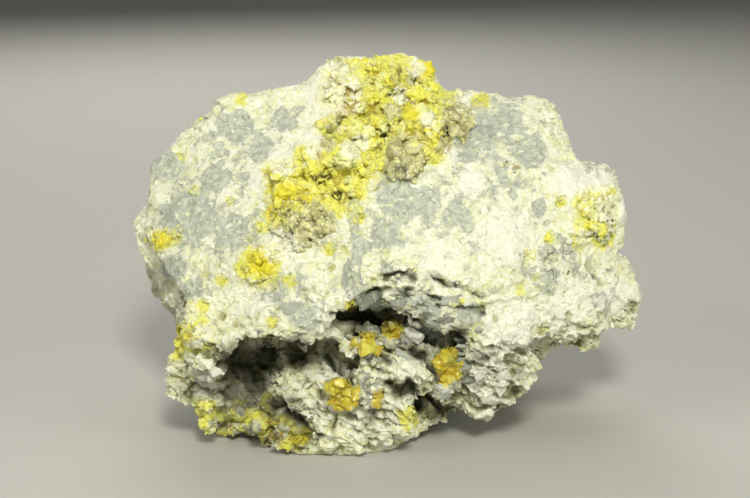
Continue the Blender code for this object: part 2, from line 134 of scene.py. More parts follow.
PATCHES = [
    # Blue-grey limestone that the chalky crust leaves bare.
    Patch("clast", -115, 21, 20), Patch("clast", -130, 52, 11), Patch("clast", -99, 43, 11),
    Patch("clast", -90, 12, 13), Patch("clast", -65, -22, 14), Patch("clast", -43, -41, 12),
    Patch("clast", -87, 77, 13), Patch("clast", -71, 61, 11), Patch("clast", -56, 80, 9),
    Patch("clast", 12, 33, 14), Patch("clast", 31, 30, 12), Patch("clast", 50, 21, 10),
    Patch("clast", 6, 9, 10), Patch("clast", 65, 71, 14), Patch("clast", 81, 80, 11),
    Patch("clast", 96, 61, 12), Patch("clast", 56, 61, 10), Patch("clast", 78, 52, 6),
    Patch("clast", 102, 25, 6), Patch("clast", 110, -16, 9, 0.6), Patch("clast", 120, -4, 8, 0.6), Patch("clast", 84, -75, 10),
    Patch("clast", 78, -90, 9), Patch("clast", 16, -90, 9), Patch("clast", 34, -50, 8),
    Patch("clast", 140, -32, 8, 0.8), Patch("clast", 60, 108, 8, 0.7), Patch("clast", -2, -38, 9),
    Patch("clast", -10, -28, 8), Patch("clast", 30, -36, 7), Patch("clast", 58, -42, 9),
    Patch("clast", -124, -12, 9), Patch("clast", -113, -25, 8), Patch("clast", -72, -21, 9),
    # Zones where grey fragments and crust are mixed.
    Patch("clast", 62, 72, 42, 0.34), Patch("clast", 20, 22, 32, 0.36), Patch("clast", 138, 42, 20, 0.34), Patch("clast", 70, 22, 44, 0.3),
    Patch("clast", 114, -12, 26, 0.38), Patch("clast", -90, 30, 56, 0.3), Patch("clast", 20, -40, 40, 0.34),
    Patch("clast", -40, -30, 30, 0.3), Patch("clast", 70, -80, 26, 0.2),
    # Dark slaty limestone, and on the lower ledge also painted shade, darkening it where it lies in shadow.
    Patch("slate", 20, -38, 26, 0.42), Patch("slate", 50, -58, 12, 0.36), Patch("slate", -4, -74, 18, 0.3), Patch("slate", -16, -78, 7, 0.8),
    Patch("slate", -46, -100, 13, 0.5), Patch("slate", 20, -98, 14, 0.3), Patch("slate", -36, -88, 22, 0.2), Patch("slate", -2, -32, 9, 0.9),
    Patch("slate", -88, -74, 16, 0.36), Patch("slate", 44, -88, 12, 0.4), Patch("slate", -66, -70, 24, 0.4),
    Patch("slate", 30, -60, 12, 0.36),
    # Clean white crust.
    Patch("white", 82, 8, 24, 0.6), Patch("white", 40, -6, 18, 0.5), Patch("white", 152, -30, 12, 0.8), Patch("white", 70, -84, 22),
    Patch("white", 86, -48, 22), Patch("white", 118, -40, 16), Patch("white", 20, -80, 12, 0.7),
    Patch("white", -26, -78, 13, 0.8), Patch("white", -30, -98, 12, 0.8), Patch("white", -2, -106, 16, 0.8),
    Patch("white", 14, -92, 12, 0.6), Patch("white", -38, -64, 10, 0.5), Patch("white", 121, 40, 14),
    Patch("white", -30, 98, 14), Patch("white", -60, 0, 12), Patch("white", 60, 42, 10),
    Patch("white", 130, -30, 16, 0.6), Patch("white", -106, -86, 10), Patch("white", 70, -100, 10, 0.6),
    Patch("white", -74, -30, 16, 0.6), Patch("white", -30, -46, 12, 0.6),
    # Sulfur.
    Patch("sulfur", 6, 108, 26), Patch("sulfur", -19, 95, 16), Patch("sulfur", 28, 77, 22),
    Patch("sulfur", 4, 77, 17), Patch("sulfur", -22, 74, 15), Patch("sulfur", -15, 52, 18),
    Patch("sulfur", -40, 46, 18), Patch("sulfur", -53, 30, 14), Patch("sulfur", -62, 20, 10), Patch("sulfur", -70, 14, 6), Patch("sulfur", -70, -7, 11),
    Patch("sulfur", -12, 21, 8), Patch("sulfur", 1, 60, 12), Patch("sulfur", -84, 92, 5),
    Patch("sulfur", -132, 6, 9), Patch("sulfur", -124, 8, 7), Patch("sulfur", -110, -47, 9),
    Patch("sulfur", 134, 21, 9), Patch("sulfur", 109, 6, 6, 0.75), Patch("sulfur", 96, -4, 6, 0.7),
    Patch("sulfur", 90, -27, 6, 0.7), Patch("sulfur", 115, 30, 5), Patch("sulfur", -105, -97, 9),
    Patch("sulfur", -84, -100, 10), Patch("sulfur", -70, -109, 9), Patch("sulfur", -46, -118, 6),
    Patch("sulfur", -22, -89, 12), Patch("sulfur", 10, -47, 9), Patch("sulfur", 46, -70, 10),
    Patch("sulfur", 64, -50, 6, 0.7), Patch("sulfur", -14, -35, 6), Patch("sulfur", -90, 30, 4),
    Patch("sulfur", -28, 0, 5), Patch("sulfur", 65, 92, 8), Patch("sulfur", 43, 95, 11),
    Patch("sulfur", -9, 117, 10), Patch("sulfur", -112, 36, 4), Patch("sulfur", -108, -37, 7),
    Patch("sulfur", 50, -34, 6, 0.6), Patch("sulfur", 24, -10, 5, 0.6), Patch("sulfur", 20, -104, 8),
    Patch("sulfur", -53, -20, 6), Patch("sulfur", -96, -20, 5), Patch("sulfur", -64, -45, 5),
    Patch("sulfur", -120, 60, 7, 0.6), Patch("sulfur", 102, -50, 7, 0.6), Patch("sulfur", 60, -110, 8, 0.7),
    # Calcite.
    Patch("calcite", 19, 62, 13), Patch("calcite", 51, 81, 12), Patch("calcite", -47, 16, 22, 0.8),
    Patch("calcite", 16, 106, 7), Patch("calcite", -23, 116, 7), Patch("calcite", -30, 66, 6),
    Patch("calcite", 10, 85, 6), Patch("calcite", 42, 62, 6),
    # Deep yellow sulfur.
    Patch("gold", -55, 34, 11), Patch("gold", -62, 22, 8), Patch("gold", -44, 30, 9), Patch("gold", -70, -8, 12), Patch("gold", 33, 114, 9),
    Patch("gold", -33, 84, 9), Patch("gold", 131, 22, 5, 0.6), Patch("white", 137, 26, 10, 0.45), Patch("gold", -12, 62, 7), Patch("gold", 22, 84, 7),
    Patch("gold", -22, 84, 6), Patch("gold", 14, 103, 5), Patch("gold", -132, 6, 7), Patch("gold", 46, -70, 12),
    Patch("gold", -10, -47, 16), Patch("gold", -24, -86, 12), Patch("gold", -46, -118, 8),
    # Clean crystals.
    Patch("amber", -6, -62, 13), Patch("amber", 44, -72, 14), Patch("amber", 11, -49, 8), Patch("amber", 37, -56, 5),
    Patch("amber", -20, -90, 13), Patch("amber", 5, -94, 8), Patch("amber", -36, -84, 8),
    # Sulfur hidden under a coat of crust.
    Patch("coat", -88, -84, 13), Patch("coat", -98, -88, 8), Patch("coat", -60, -100, 8), Patch("coat", -58, -112, 7),
    Patch("coat", -76, -96, 6), Patch("coat", -28, 78, 8, 0.6), Patch("coat", -30, 66, 7, 0.6), Patch("coat", 46, 66, 7),
    Patch("coat", 146, 24, 8, 0.3), Patch("coat", 140, 40, 8), Patch("coat", 134, 6, 7), Patch("coat", 124, 36, 7),
    Patch("coat", 148, 8, 8), Patch("coat", -84, -112, 7), Patch("coat", -62, -104, 6), Patch("coat", -50, -110, 8, 0.8),
    Patch("coat", -64, -120, 7), Patch("coat", -96, -106, 6), Patch("coat", -118, -30, 7), Patch("coat", -104, -48, 6), Patch("coat", -124, -41, 8),
    # Among the patches on the next line, the dark ones are painted shade over the left foot.
    Patch("coat", -112, -62, 8), Patch("coat", -100, -104, 7), Patch("coat", -76, -112, 7, 0.7), Patch("painted_shade", -92, -102, 9, 0.45), Patch("painted_shade", -60, -114, 8, 0.4), Patch("painted_shade", -112, -84, 14, 0.45), Patch("sulfur", -117, -82, 8, 0.6), Patch("painted_shade", -74, -118, 12, 0.5), Patch("painted_shade", -48, -116, 8, 0.5),
    # White powder over the sulfur.
    Patch("white", -26, 96, 20, 0.9), Patch("white", -14, 62, 8), Patch("white", 34, 80, 6), Patch("white", 26, 112, 6),
    Patch("white", 47, 58, 6), Patch("white", -38, 62, 7), Patch("white", -8, 66, 7), Patch("white", 16, 96, 6),
    Patch("white", 147, 24, 12), Patch("white", 139, 41, 10), Patch("white", 128, 8, 6), Patch("white", -58, 54, 11),
    Patch("white", -72, 42, 8), Patch("white", -116, -40, 10, 0.8), Patch("white", -108, -53, 8, 0.7),
    Patch("white", -40, 66, 10, 0.7), Patch("white", 54, 96, 10, 0.6),
    # Level faces, where the rock broke cleanly.
    Patch("flat", -112, 30, 40), Patch("flat", -75, 60, 36), Patch("flat", 50, 20, 46), Patch("flat", 98, 30, 44),
    Patch("flat", 75, 75, 34), Patch("flat", 40, -2, 30), Patch("flat", -45, 90, 24), Patch("flat", -60, 0, 26, 0.7),
    # Painted shade, dark olive: under the overhangs, in the undercut and on the shadowed lower parts.
    Patch("painted_shade", -84, -72, 17), Patch("painted_shade", -68, -68, 12), Patch("painted_shade", -48, -64, 11), Patch("painted_shade", -74, -84, 12),
    Patch("painted_shade", -10, -44, 11, 0.8), Patch("painted_shade", -28, -62, 8, 0.7),
    Patch("painted_shade", -136, -20, 12, 0.5), Patch("painted_shade", -128, -44, 14, 0.5), Patch("painted_shade", 4, -42, 13, 0.8),
    Patch("painted_shade", -84, -92, 12, 0.7), Patch("painted_shade", -64, -100, 10, 0.8), Patch("painted_shade", -90, -88, 10, 0.9), Patch("painted_shade", -78, -93, 9, 0.8),
    Patch("painted_shade", -52, -98, 9, 0.6), Patch("painted_shade", 50, -68, 6, 0.5), Patch("painted_shade", 64, -68, 7, 0.6),
    Patch("painted_shade", 28, -56, 16, 0.5), Patch("painted_shade", 51, -53, 8), Patch("painted_shade", -60, -102, 16, 0.5),
    # Brown iron stain.
    Patch("rust", 115, -7, 17), Patch("rust", 105, 52, 8, 0.6), Patch("rust", 96, -28, 8, 0.6),
    Patch("rust", 140, -10, 8, 0.5), Patch("rust", 60, 5, 44, 0.45), Patch("rust", 84, 60, 40, 0.5),
]

CRACKS = [
    Crack([(14, -24), (24, -26), (36, -31), (48, -33)], 1.6, 5.0),
    Crack([(8, -36), (20, -42), (30, -48), (36, -56)], 1.8, 6.0),
    Crack([(40, -34), (52, -38), (62, -36), (72, -42)], 1.4, 4.0),
    Crack([(45, -51), (50, -54), (55, -54)], 4.5, 10.0),
    Crack([(16, -56), (24, -64), (34, -66)], 1.8, 5.0),
    Crack([(-28, -44), (-16, -52), (-4, -72), (10, -80)], 1.6, 4.0),
    # Under the right slab and across the middle.
    Crack([(2, -21), (8, -17), (19, -15), (28, -18)], 2.2, 6.0),
    Crack([(31, -15), (40, -19), (49, -25)], 1.7, 5.0),
    Crack([(45, -21), (57, -24), (71, -31)], 1.5, 4.0),
    Crack([(-18, -35), (-6, -29), (6, -25), (16, -27), (28, -32), (43, -40)], 2.2, 4.0),
    Crack([(55, -40), (71, -35), (90, -32), (105, -29)], 1.5, 2.5),
    Crack([(96, -36), (112, -44), (130, -42), (140, -36)], 1.3, 2.0),
    Crack([(130, -8), (139, -18), (144, -26)], 1.4, 3.0),
    Crack([(105, 0), (111, -8), (117, -19)], 1.3, 2.5),
    Crack([(92, 50), (99, 48)], 1.6, 2.5),
    Crack([(-99, -6), (-90, -8), (-81, -11)], 1.2, 2.0),
    # Between the lumps of sulfur.
    Crack([(-33, 73), (-28, 75), (-22, 78), (-18, 76)], 2.4, 7.0),
    Crack([(-4, 74), (2, 74), (6, 69), (7, 64)], 1.8, 6.0),
    Crack([(-66, 44), (-58, 41), (-50, 41)], 1.6, 4.0),
    Crack([(-42, 43), (-34, 46), (-25, 44)], 1.8, 5.0),
    Crack([(42, 78), (44, 71), (46, 65)], 2.0, 6.0),
    Crack([(6, 92), (12, 97), (20, 96)], 1.6, 5.0),
    Crack([(12, 106), (15, 109), (20, 110)], 1.6, 4.0),
    Crack([(-78, 4), (-72, 3), (-65, 6)], 1.6, 4.0),
    Crack([(-30, 30), (-24, 33), (-19, 36)], 2.4, 6.0),
    # The foot's beds.
    Crack([(-34, -61), (-26, -71), (-16, -81), (-13, -87)], 2.6, 7.0),
    Crack([(-16, -66), (-4, -68), (6, -67), (14, -72)], 2.2, 6.0),
    Crack([(4, -80), (17, -88), (25, -86), (29, -93), (26, -102)], 3.0, 8.0),
    Crack([(28, -86), (38, -95), (47, -99), (58, -100)], 2.4, 6.0),
    Crack([(20, -59), (31, -66), (37, -75), (39, -84)], 2.0, 6.0),
    Crack([(-30, -40), (-18, -39), (-8, -38), (0, -44), (7, -50)], 3.0, 8.0),
    Crack([(-70, -89), (-54, -100), (-42, -113), (-30, -117)], 2.6, 6.0),
    Crack([(-30, -84), (-20, -100), (-6, -108)], 1.6, 4.0),
    Crack([(52, -84), (60, -92), (70, -97)], 1.6, 4.0),
    Crack([(62, -56), (72, -62), (84, -63)], 1.8, 4.0),
]

# Veins of grey limestone, as places on the best side, with their half widths in mm.
VEINS = [
    (((-12, 34), (-14, 18), (-10, 2), (-12, -14), (-10, -25)), 2.6),
    (((78, 47), (82, 40), (86, 33)), 2.2),
]


class Plate(NamedTuple):
    """A block or blade of limestone that stands out of the rock: its place and sizes in mm, the turn of its long
    side in degrees from level, and its tone from dark (0) to white (1)."""

    right: float
    up: float
    size: tuple
    turn: float
    tone: float


PLATES = [
    Plate(-2, -31, (18, 7, 6), 25, 0.1), Plate(25, -30, (13, 9, 7), -20, 0.6), Plate(37, -39, (16, 7, 6), -25, 0.5),
    Plate(-18, -16, (21, 4, 5), 78, 0.45), Plate(-52, -37, (14, 8, 4), 8, 0.5), Plate(-98, -76, (9, 6, 5), -10, 0.75),
    Plate(12, -40, (11, 6, 5), -35, 0.3), Plate(48, -32, (12, 6, 5), 10, 0.5), Plate(-12, -74, (12, 5, 4), -30, 0.3),
    Plate(18, -66, (12, 4, 4), -32, 0.45), Plate(66, -78, (9, 6, 4), 60, 0.6), Plate(-8, -98, (14, 3, 3), -32, 0.2),
    Plate(30, -49, (15, 10, 14), -22, 0.85), Plate(39, -53, (11, 9, 14), -12, 0.75), Plate(24, -54, (12, 7, 10), -30, 0.65),
    Plate(14, -34, (9, 5, 4), 12, 0.3), Plate(44, -44, (10, 5, 4), -15, 0.2), Plate(0, -68, (9, 5, 4), -38, 0.55),
]

SUNK = 0.2  # a lump's middle lies this share of its width under the surface

# The ribbed grey column, from its top to its foot: places on the best side and the size of one block, mm.
COLUMN = ((55, -57), (58, -82))
COLUMN_BLOCKS = 7
COLUMN_BLOCK = (9.0, 3.6, 12.0)


class Lump(NamedTuple):
    """A rounded lump of a mineral: its place on the best side and its width, mm."""

    right: float
    up: float
    width: float


SULFUR_LUMPS = [
    Lump(26, 79, 19), Lump(35, 73, 11), Lump(18, 71, 9), Lump(-6, 62, 15), Lump(-19, 56, 12), Lump(-28, 61, 9),
    Lump(1, 52, 9), Lump(-12, 113, 10), Lump(30, 110, 12), Lump(36, 100, 8), Lump(-4, 72, 8), Lump(44, 88, 8),
    Lump(-55, 37, 12), Lump(-46, 40, 9), Lump(-60, 31, 8), Lump(-70, -5, 10), Lump(-66, -13, 8), Lump(-75, -15, 8),
    Lump(-40, 52, 8), Lump(-10, 88, 7), Lump(10, 90, 6), Lump(-34, 76, 7), Lump(131, 25, 9), Lump(137, 16, 8),
    Lump(107, 6, 6), Lump(98, -3, 5), Lump(-132, 5, 8), Lump(-110, -48, 8), Lump(-105, -97, 8), Lump(-72, -108, 11),
    Lump(-46, -118, 7), Lump(-9, 34, 6), Lump(-16, 42, 7), Lump(52, 96, 7), Lump(3, 100, 6),
]
CALCITE_LUMPS = [
    Lump(-25, 114, 9), Lump(-20, 116, 6), Lump(12, 113, 8), Lump(18, 105, 8), Lump(12, 92, 4.5), Lump(16, 90, 4),
    Lump(20, 92, 5), Lump(24, 90, 4), Lump(41, 90, 5), Lump(46, 86, 5.5), Lump(50, 81, 5), Lump(54, 85, 4.5),
    Lump(45, 79, 4.5), Lump(51, 75, 4), Lump(13, 60, 13), Lump(23, 63, 10), Lump(20, 55, 8), Lump(-21, 72, 8),
    Lump(-44, 24, 7), Lump(-50, 18, 6), Lump(-42, 14, 6), Lump(-36, 20, 5), Lump(-54, 12, 5), Lump(-48, 8, 6),
    Lump(-38, 28, 5), Lump(-32, 12, 5), Lump(-14, 26, 5), Lump(-4, 66, 4), Lump(88, 50, 5),
]
CRYSTAL_LUMPS = [
    Lump(-5, -61, 15), Lump(-12, -58, 9), Lump(1, -63, 10), Lump(11, -47, 9), Lump(6, -50, 7), Lump(14, -52, 6),
    Lump(-22, -83, 11), Lump(-17, -89, 9), Lump(-27, -88, 8), Lump(-12, -92, 7), Lump(-8, -98, 8), Lump(-20, -94, 6),
    Lump(44, -68, 10), Lump(47, -75, 12), Lump(43, -80, 9), Lump(49, -64, 8), Lump(40, -74, 7), Lump(64, -50, 6),
    Lump(-84, -100, 11), Lump(-90, -96, 8),
]
BED_DIP = math.radians(-29)  # the beds of the foot fall to the right
BANK = 2.4  # the rock swells this many mm towards a crust that fills its hollow
SHARP_CHIP = 0.6  # chips whose faces meet at more than this angle, in radians, keep a crisp edge


# Helpers


def linear(code):
    """A hex colour as linear red, green and blue."""
    parts = [int(code[i : i + 2], 16) / 255 for i in (1, 3, 5)]
    return tuple(c / 12.92 if c <= 0.04045 else ((c + 0.055) / 1.055) ** 2.4 for c in parts)


def ramp01(values, low, high):
    """0 below low, 1 above high and smooth between, for numbers or arrays."""
    t = np.clip((np.asarray(values, dtype=float) - low) / (high - low), 0.0, 1.0)
    return t * t * (3 - 2 * t)


def only(obj):
    """Leaves this object alone selected and active."""
    bpy.ops.object.select_all(action="DESELECT")
    obj.select_set(True)
    bpy.context.view_layer.objects.active = obj
    return obj


def copy_of_node(node, name):
    """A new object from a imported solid, with its loose triangles joined up."""
    obj = bpy.data.objects.new(name, frame["nodes"][node].data.copy())
    bpy.context.scene.collection.objects.link(obj)
    only(obj)
    bpy.ops.object.mode_set(mode="EDIT")
    bpy.ops.mesh.select_all(action="SELECT")
    bpy.ops.mesh.remove_doubles(threshold=0.00001)
    bpy.ops.object.mode_set(mode="OBJECT")
    return obj


def apply_modifier(obj, kind, **settings):
    only(obj)
    modifier = obj.modifiers.new(kind.lower(), kind)
    for key, value in settings.items():
        setattr(modifier, key, value)
    bpy.ops.object.modifier_apply(modifier=modifier.name)
    return obj


def thin_to(obj, triangles):
    """Collapses a mesh to about this many triangles."""
    mesh = obj.data
    mesh.calc_loop_triangles()
    if len(mesh.loop_triangles) > triangles:
        ratio = triangles / len(mesh.loop_triangles)
        apply_modifier(obj, "DECIMATE", ratio=ratio, use_collapse_triangulate=True)
    return obj


def points_of(obj):
    found = np.empty(len(obj.data.vertices) * 3)
    obj.data.vertices.foreach_get("co", found)
    return found.reshape(-1, 3)


def normals_of(obj):
    found = np.empty(len(obj.data.vertices) * 3, dtype=np.float32)
    obj.data.vertex_normals.foreach_get("vector", found)
    return found.reshape(-1, 3).astype(float)


def place_points(obj, points):
    """Puts a mesh's vertices at these points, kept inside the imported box."""
    low, high = (np.array(corner) for corner in CAD_BOX)
    obj.data.vertices.foreach_set("co", np.clip(points, low, high).ravel())
    obj.data.update()
    return obj


def move_out(obj, heights):
    """Moves each vertex along its normal by its height in mm."""
    return place_points(obj, points_of(obj) + normals_of(obj) * np.asarray(heights)[:, None] * MM)


def set_attribute(obj, name, values):
    attribute = obj.data.attributes.new(name, "FLOAT", "POINT")
    attribute.data.foreach_set("value", np.asarray(values, dtype=np.float32))


def attribute_of(obj, name):
    found = np.empty(len(obj.data.vertices), dtype=np.float32)
    obj.data.attributes[name].data.foreach_get("value", found)
    return found.astype(float)


def finish_piece(obj, material, slot, *nodes):
    """Gives a piece its material, hangs it on the root body and hides the solids it stands for."""
    obj.data.materials.clear()
    obj.data.materials.append(material)
    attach(obj, "root")
    if nodes:
        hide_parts(*nodes)
    return obj


def tree_of(obj):
    return BVHTree.FromPolygons([v.co for v in obj.data.vertices], [p.vertices for p in obj.data.polygons])


# What the best side's marks do to points


def best_side(points):
    """How far right and up each point is seen from the best side, in mm, with the front half marked."""
    tilt = math.radians(BEST_ELEVATION)
    towards = np.array((0, -math.cos(tilt), math.sin(tilt)))
    up = np.array((0, math.sin(tilt), math.cos(tilt)))
    offset = points - np.array(BEST_TARGET)
    scale = BEST_DISTANCE / (BEST_DISTANCE - offset @ towards)
    return offset[:, 0] * scale / MM, (offset @ up) * scale / MM, points[:, 1] / MM < FRONT_HALF


def patch_weight(points, kind):
    """How strongly each point lies in the patches of a kind, from 0 to 1."""
    right, up, front = best_side(points)
    weight = np.zeros(len(points))
    for patch in PATCHES:
        if patch.kind == kind:
            away = ((right - patch.right) ** 2 + (up - patch.up) ** 2) / patch.reach**2
            weight = np.maximum(weight, patch.strength * np.clip(1.2 - away, 0, 1))
    return weight * front


def line_distance(points, places):
    """How far each point is from a line through places on the best side, and how far along it, in mm.

    The distance is negative below a line that runs to the right.
    """
    right, up, front = best_side(points)
    nearest = np.full(len(points), 1e6)
    along = np.zeros(len(points))
    gone = 0.0
    for (x0, y0), (x1, y1) in zip(places[:-1], places[1:]):
        length = math.hypot(x1 - x0, y1 - y0)
        share = np.clip(((right - x0) * (x1 - x0) + (up - y0) * (y1 - y0)) / length**2, 0, 1)
        away = np.hypot(right - x0 - share * (x1 - x0), up - y0 - share * (y1 - y0))
        side = np.sign((x1 - x0) * (up - y0) - (y1 - y0) * (right - x0))
        closer = away < np.abs(nearest)
        along[closer] = gone + share[closer] * length
        nearest[closer] = (away * np.where(side < 0, -1, 1))[closer]
        gone += length
    return np.where(front, nearest, 1e6), along, gone


def crack_heights(points):
    """How far the open cracks and the lips above them move each point, in mm: a crack is down, a lip up."""
    height = np.zeros(len(points))
    for crack in CRACKS:
        away, along, length = line_distance(points, crack.places)
        for index in np.flatnonzero(np.abs(away) < 5 * crack.width):
            p = Vector(points[index])
            wide = crack.width * (0.8 + 0.9 * noise.noise(p / 0.007))
            off = away[index] + noise.fractal(p / 0.005, 0.9, 2.1, 3) * 2.4
            taper = min(1.0, along[index] / 5, (length - along[index]) / 5)
            reach = wide if off > 0 else wide * 1.7
            slot = -crack.depth * math.exp(-((off / max(reach, 0.4)) ** 2)) * (0.75 + 0.6 * noise.noise(p / 0.006))
            lip = 0.25 * crack.depth * math.exp(-(((off - 1.8 * crack.width) / (1.2 * crack.width)) ** 2))
            height[index] = min(height[index], slot * taper) if slot < -lip else height[index] + lip * taper
    return height


# The rock's skin


def foot_share(p):
    """1 in the bedded foot, 0 above it."""
    return max(0.0, min(1.0, (0.088 - p.z) / 0.02))


def skin_height(p):
    """Height of the broken rock over the plain solid at a point, in mm, made of lumps, blocks, chips and grit."""
    swell = noise.noise(p / 0.017) * 1.4
    gaps, cells = noise.voronoi((p + noise.noise_vector(p / 0.006) * 0.002) / 0.0105)
    block = noise.noise(cells[0] * 5.1) * 2.0
    joint = min((gaps[1] - gaps[0]) / 0.14, 1.0) * 0.9 - 0.9
    chip_gaps, chip_cells = noise.voronoi(p / 0.0042)
    chip = noise.noise(chip_cells[0] * 9.7) * 1.0 + min((chip_gaps[1] - chip_gaps[0]) / 0.2, 1.0) * 0.4
    grit = noise.fractal(p / 0.0026, 0.8, 2.1, 3) * 0.5
    pit = max(0.0, noise.noise(p / 0.0055 + Vector((7, 3, 5))) - 0.36) * 9.0
    return swell + (block + joint) * (1 + 0.7 * foot_share(p)) + chip + grit - pit


def bed_height(p):
    """Thin beds that step out of the foot, in mm."""
    foot = foot_share(p)
    if foot == 0.0:
        return 0.0
    across = p.z + 0.55 * p.x + noise.noise(p / 0.014) * 0.004
    bed = Vector((p.x / 0.022, p.y / 0.022, across / 0.008))
    return (abs(noise.fractal(bed, 0.8, 2.2, 3)) * 3.8 - 1.4) * foot


def zone_noise(points, period, shift):
    """Slow noise that says in which parts of the unseen sides a stain gathers."""
    return np.array([noise.noise(Vector(p) / (period * MM) + Vector((shift, 0, 0))) for p in points])


def stains(points, crusts):
    """Smooth weights of the stains, and of the painted shade under the overhangs. The material breaks their edges up
    into blocks and grains.
    """
    _, _, front = best_side(points)
    hidden = 1 - front * 1.0
    white = patch_weight(points, "white")
    clast = patch_weight(points, "clast") + 0.14 - 0.3 * white + hidden * zone_noise(points, 26, 3.0) * 0.9
    for places, width in VEINS:
        away, _, _ = line_distance(points, places)
        clast = np.maximum(clast, (1 - ramp01(np.abs(away), width * 0.8, width * 1.4)) * 1.5)
    beside = np.array([min(tree.find_nearest(Vector(p), 0.02)[3] or 0.02 for tree in crusts) for p in points])
    near = 1 - ramp01(beside / MM, 0.5, 11.0)
    sulfur = np.maximum(patch_weight(points, "sulfur"), near * 1.1)
    low_down = 1 - ramp01(points[:, 2] / MM, 60, 120)
    sulfur = np.maximum(sulfur, -0.06 + 0.3 * low_down + hidden * (zone_noise(points, 30, 7.0) - 0.1) * 1.4)
    return {
        "bank": near,
        "gold": patch_weight(points, "gold"),
        "clast": clast - 0.7 * near,
        "sulfur": sulfur,
        "calcite": patch_weight(points, "calcite"),
        "rust": patch_weight(points, "rust"),
        # Painted shade: dark olive under the overhangs and on the left foot.
        "painted_shade": patch_weight(points, "painted_shade"),
        # Slaty limestone, and partly painted shade on the shadowed lower ledge.
        "slate": patch_weight(points, "slate") + hidden * zone_noise(points, 24, 11.0) * 0.6,
        "white": white,
    }


def thin_part(rock, ratio, front):
    """Collapses the front or the back of the skin to this share of its triangles."""
    middles = np.empty(len(rock.data.polygons) * 3)
    rock.data.polygons.foreach_get("center", middles)
    chosen = (middles.reshape(-1, 3)[:, 1] < FRONT_HALF * MM) == front
    only(rock)
    bpy.ops.object.mode_set(mode="EDIT")
    bpy.ops.mesh.select_mode(type="FACE")
    bpy.ops.mesh.select_all(action="DESELECT")
    bpy.ops.object.mode_set(mode="OBJECT")
    rock.data.polygons.foreach_set("select", chosen)
    bpy.ops.object.mode_set(mode="EDIT")
    bpy.ops.mesh.decimate(ratio=ratio)
    bpy.ops.object.mode_set(mode="OBJECT")


def build_rock_skin(sizes):
    """The whole rock as one skin of small triangles, with its stains as attributes."""
    rock = copy_of_node("limestone_matrix", "rock_skin")
    apply_modifier(rock, "REMESH", mode="VOXEL", voxel_size=sizes.skin_voxel)
    apply_modifier(rock, "SMOOTH", factor=0.5, iterations=8)
    points = points_of(rock)
    crusts = [tree_of(frame["nodes"][name]) for name in MASSIVE_NODES]
    weights = stains(points, crusts)
    bare = ramp01(weights["clast"], 0.3, 0.6)
    yellow = ramp01(weights["sulfur"], 0.3, 0.7)
    broken = np.array([skin_height(Vector(p)) + bed_height(Vector(p)) for p in points])
    broken = broken * (1.15 - 0.65 * patch_weight(points, "flat"))
    lumpy = np.zeros(len(points))
    for index in np.flatnonzero(yellow > 0):
        lumpy[index] = sulfur_lumps(Vector(points[index]))
    heights = broken * (1 - 0.45 * bare) * (1 - 0.7 * yellow) + lumpy * yellow + weights["bank"] * BANK
    for places, width in VEINS:
        away, _, _ = line_distance(points, places)
        inside = 1 - ramp01(np.abs(away), width * 0.7, width * 1.2)
        heights = heights * (1 - 0.8 * inside) + inside * 0.6
    cracks = crack_heights(points)
    # Painted shade: the hollow weight darkens the open cracks and the low spots of the foot nearly to black, and the
    # recess weight gives the low spots between chips a darker yellow-green.
    foot = 1 - ramp01(points[:, 2] / MM, 76, 100)
    weights["hollow"] = np.maximum(ramp01(-cracks, 1.0, 4.0) * 0.95, foot * ramp01(-broken, 0.9, 3.4) * 0.7)
    weights["recess"] = ramp01(-broken, 0.8, 3.6)
    for name, values in weights.items():
        set_attribute(rock, name, values)
    table = ramp01(points[:, 2] / MM, 0.4, 5.0)
    move_out(rock, (heights + cracks) * table)
    count = 2 * len(rock.data.polygons)
    front = np.count_nonzero(points[:, 1] < FRONT_HALF * MM) / len(points)
    thin_part(rock, sizes.front_triangles / (count * front), True)
    thin_part(rock, sizes.back_triangles / (count * (1 - front)), False)
    apply_modifier(rock, "TRIANGULATE")
    place_points(rock, points_of(rock))
    only(rock)
    bpy.ops.object.shade_smooth_by_angle(angle=SHARP_CHIP)
    return rock


# Crystals, modelled once and copied


def sulfur_shape(cut, tall, slim, cuts=0):
    """A dipyramid with cut tips: half of it is a four-sided cone, and the other half its mirror image.

    Its faces are split by this many cuts where it is to be worn afterwards.
    """
    bpy.ops.object.select_all(action="DESELECT")
    depth = tall * (1 - cut)
    bpy.ops.mesh.primitive_cone_add(vertices=4, radius1=0.5, radius2=0.5 * cut, depth=depth)
    crystal = bpy.context.active_object
    bpy.ops.object.mode_set(mode="EDIT")
    bpy.ops.transform.translate(value=(0, 0, depth / 2))
    bpy.ops.transform.resize(value=(1, slim, 1), center_override=(0, 0, 0))
    bpy.ops.mesh.select_all(action="DESELECT")
    bpy.ops.object.mode_set(mode="OBJECT")
    for face in crystal.data.polygons:
        face.select = face.normal.z < -0.9
    bpy.ops.object.mode_set(mode="EDIT")
    bpy.ops.mesh.delete(type="FACE")
    bpy.ops.object.mode_set(mode="OBJECT")
    apply_modifier(crystal, "MIRROR", use_axis=(False, False, True), merge_threshold=0.0001)
    if cuts:
        only(crystal)
        bpy.ops.object.mode_set(mode="EDIT")
        bpy.ops.mesh.select_all(action="SELECT")
        bpy.ops.mesh.subdivide(number_cuts=cuts)
        bpy.ops.object.mode_set(mode="OBJECT")
    return template(crystal)


def rounded_shape(roughness, seed):
    """A calcite ball: a small sphere pushed out of round."""
    bpy.ops.object.select_all(action="DESELECT")
    bpy.ops.mesh.primitive_ico_sphere_add(subdivisions=2, radius=0.5)
    ball = bpy.context.active_object
    for vertex in ball.data.vertices:
        gaps, _ = noise.voronoi(vertex.co * 2.6 + Vector((seed, 0, 0)))
        vertex.co *= 1 - roughness * gaps[0]
    return template(ball)


